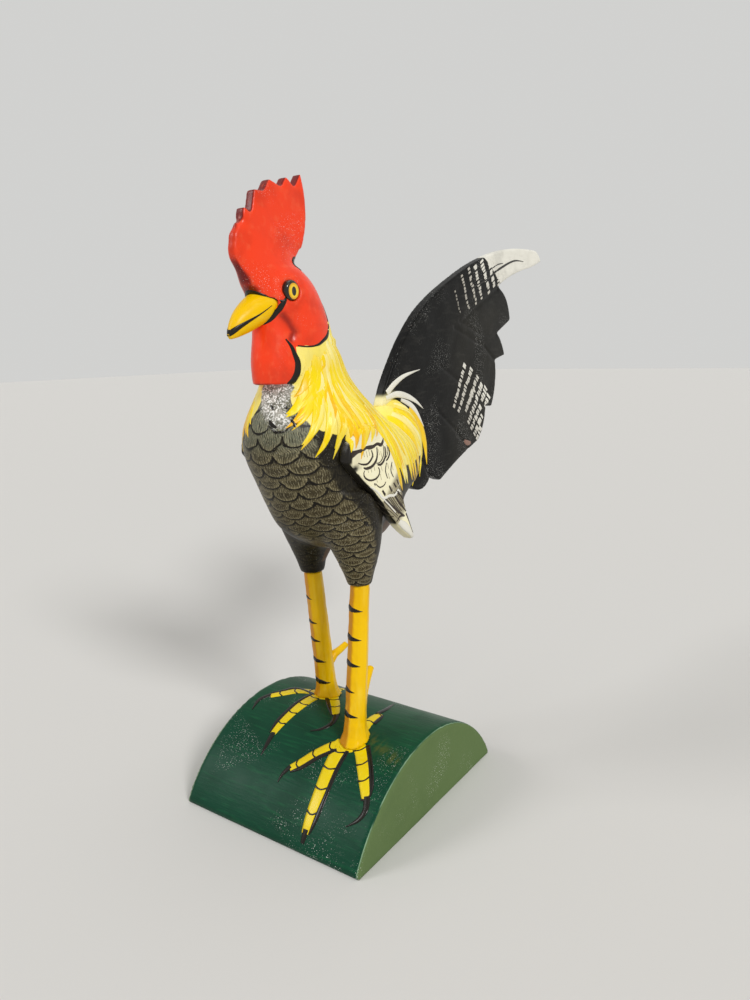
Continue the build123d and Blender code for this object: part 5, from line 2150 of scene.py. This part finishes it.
def pale_world():
    """Even light from all round, before a pale background."""
    world = bpy.data.worlds.new("studio")
    world.use_nodes = True
    tree = world.node_tree
    path = outputs(node(tree, "ShaderNodeLightPath"))
    seen = maths("MAXIMUM", path["Is Camera Ray"], path["Is Glossy Ray"])
    seen = maths("MAXIMUM", seen, path["Is Transmission Ray"])
    sky = tree.nodes["Background"].inputs
    sky["Color"].default_value = rgba(SKY_CHIP)
    tree.links.new(mix_value(seen, AMBIENT, BACKGROUND).socket, sky["Strength"])
    return world


def photograph_camera():
    """A camera where the photograph was taken from."""
    camera = linked("camera", bpy.data.cameras.new("camera"))
    camera.data.sensor_width = SENSOR
    camera.data.lens = SENSOR * CAMERA_REACH
    camera.data.clip_start = CAMERA_NEAR
    turn, dip, roll = (math.radians(a) for a in (CAMERA_TURN, CAMERA_DIP, CAMERA_ROLL))
    ahead = Vector((-math.sin(turn) * math.cos(dip), math.cos(turn) * math.cos(dip), -math.sin(dip)))
    right = Vector((math.cos(turn), math.sin(turn), 0))
    up = right.cross(ahead)
    level_right = math.cos(roll) * right + math.sin(roll) * up
    level_up = math.cos(roll) * up - math.sin(roll) * right
    facing = Matrix((level_right, level_up, -ahead)).transposed().to_4x4()
    camera.matrix_world = Matrix.Translation(Vector(CAMERA_PLACE) * MM) @ facing
    return camera


class GAMECOCK_OT_stage(bpy.types.Operator):
    """Set the floor, the lights and the camera"""

    bl_idname = "gamecock.stage"
    bl_label = "Stage"

    def execute(self, context):
        scene = context.scene
        scene.view_settings.view_transform = "Standard"
        pale_floor()
        scene.world = pale_world()
        for name, strength, width, source in LAMPS:
            light = bpy.data.lights.new(name, "SUN")
            light.energy = strength
            light.angle = math.radians(width)
            lamp = linked(name, light)
            lamp.location = Vector(source)
            lamp.rotation_euler = Vector(source).to_track_quat("Z", "Y").to_euler()
        scene.camera = photograph_camera()
        return {"FINISHED"}


# Panel and registration


class GAMECOCK_PT_panel(bpy.types.Panel):
    """Lists the pieces in the sidebar"""

    bl_idname = "GAMECOCK_PT_panel"
    bl_label = "Painted gamecock"
    bl_space_type = "VIEW_3D"
    bl_region_type = "UI"
    bl_category = "Gamecock"

    def draw(self, context):
        for operator in OPERATORS:
            self.layout.operator(operator.bl_idname)
        for settings in (context.scene.gamecock_sizes, context.scene.gamecock_paint):
            for key in settings.__annotations__:
                self.layout.prop(settings, key)


OPERATORS = (
    GAMECOCK_OT_block,
    GAMECOCK_OT_body,
    GAMECOCK_OT_head,
    GAMECOCK_OT_beak,
    GAMECOCK_OT_eyes,
    GAMECOCK_OT_wings,
    GAMECOCK_OT_tail,
    GAMECOCK_OT_legs,
    GAMECOCK_OT_dowels,
    GAMECOCK_OT_face_lines,
    GAMECOCK_OT_hackle,
    GAMECOCK_OT_wing_lines,
    GAMECOCK_OT_tail_bars,
    GAMECOCK_OT_toes,
    GAMECOCK_OT_leg_bands,
    GAMECOCK_OT_stage,
)
CLASSES = (PaintBox, CarvingSizes, *OPERATORS, GAMECOCK_PT_panel)


def register():
    """Add the classes and the scene's settings."""
    for item in CLASSES:
        bpy.utils.register_class(item)
    bpy.types.Scene.gamecock_paint = bpy.props.PointerProperty(type=PaintBox)
    bpy.types.Scene.gamecock_sizes = bpy.props.PointerProperty(type=CarvingSizes)


def unregister():
    """Take the classes and the settings away again."""
    del bpy.types.Scene.gamecock_sizes
    del bpy.types.Scene.gamecock_paint
    for item in reversed(CLASSES):
        bpy.utils.unregister_class(item)


def main():
    """Make every piece in order."""
    register()
    make_brushwork_group()
    make_scale_group()
    make_stroke_tree()
    for operator in OPERATORS:
        module, name = operator.bl_idname.split(".")
        getattr(getattr(bpy.ops, module), name)()


if __name__ == "__main__":
    main()
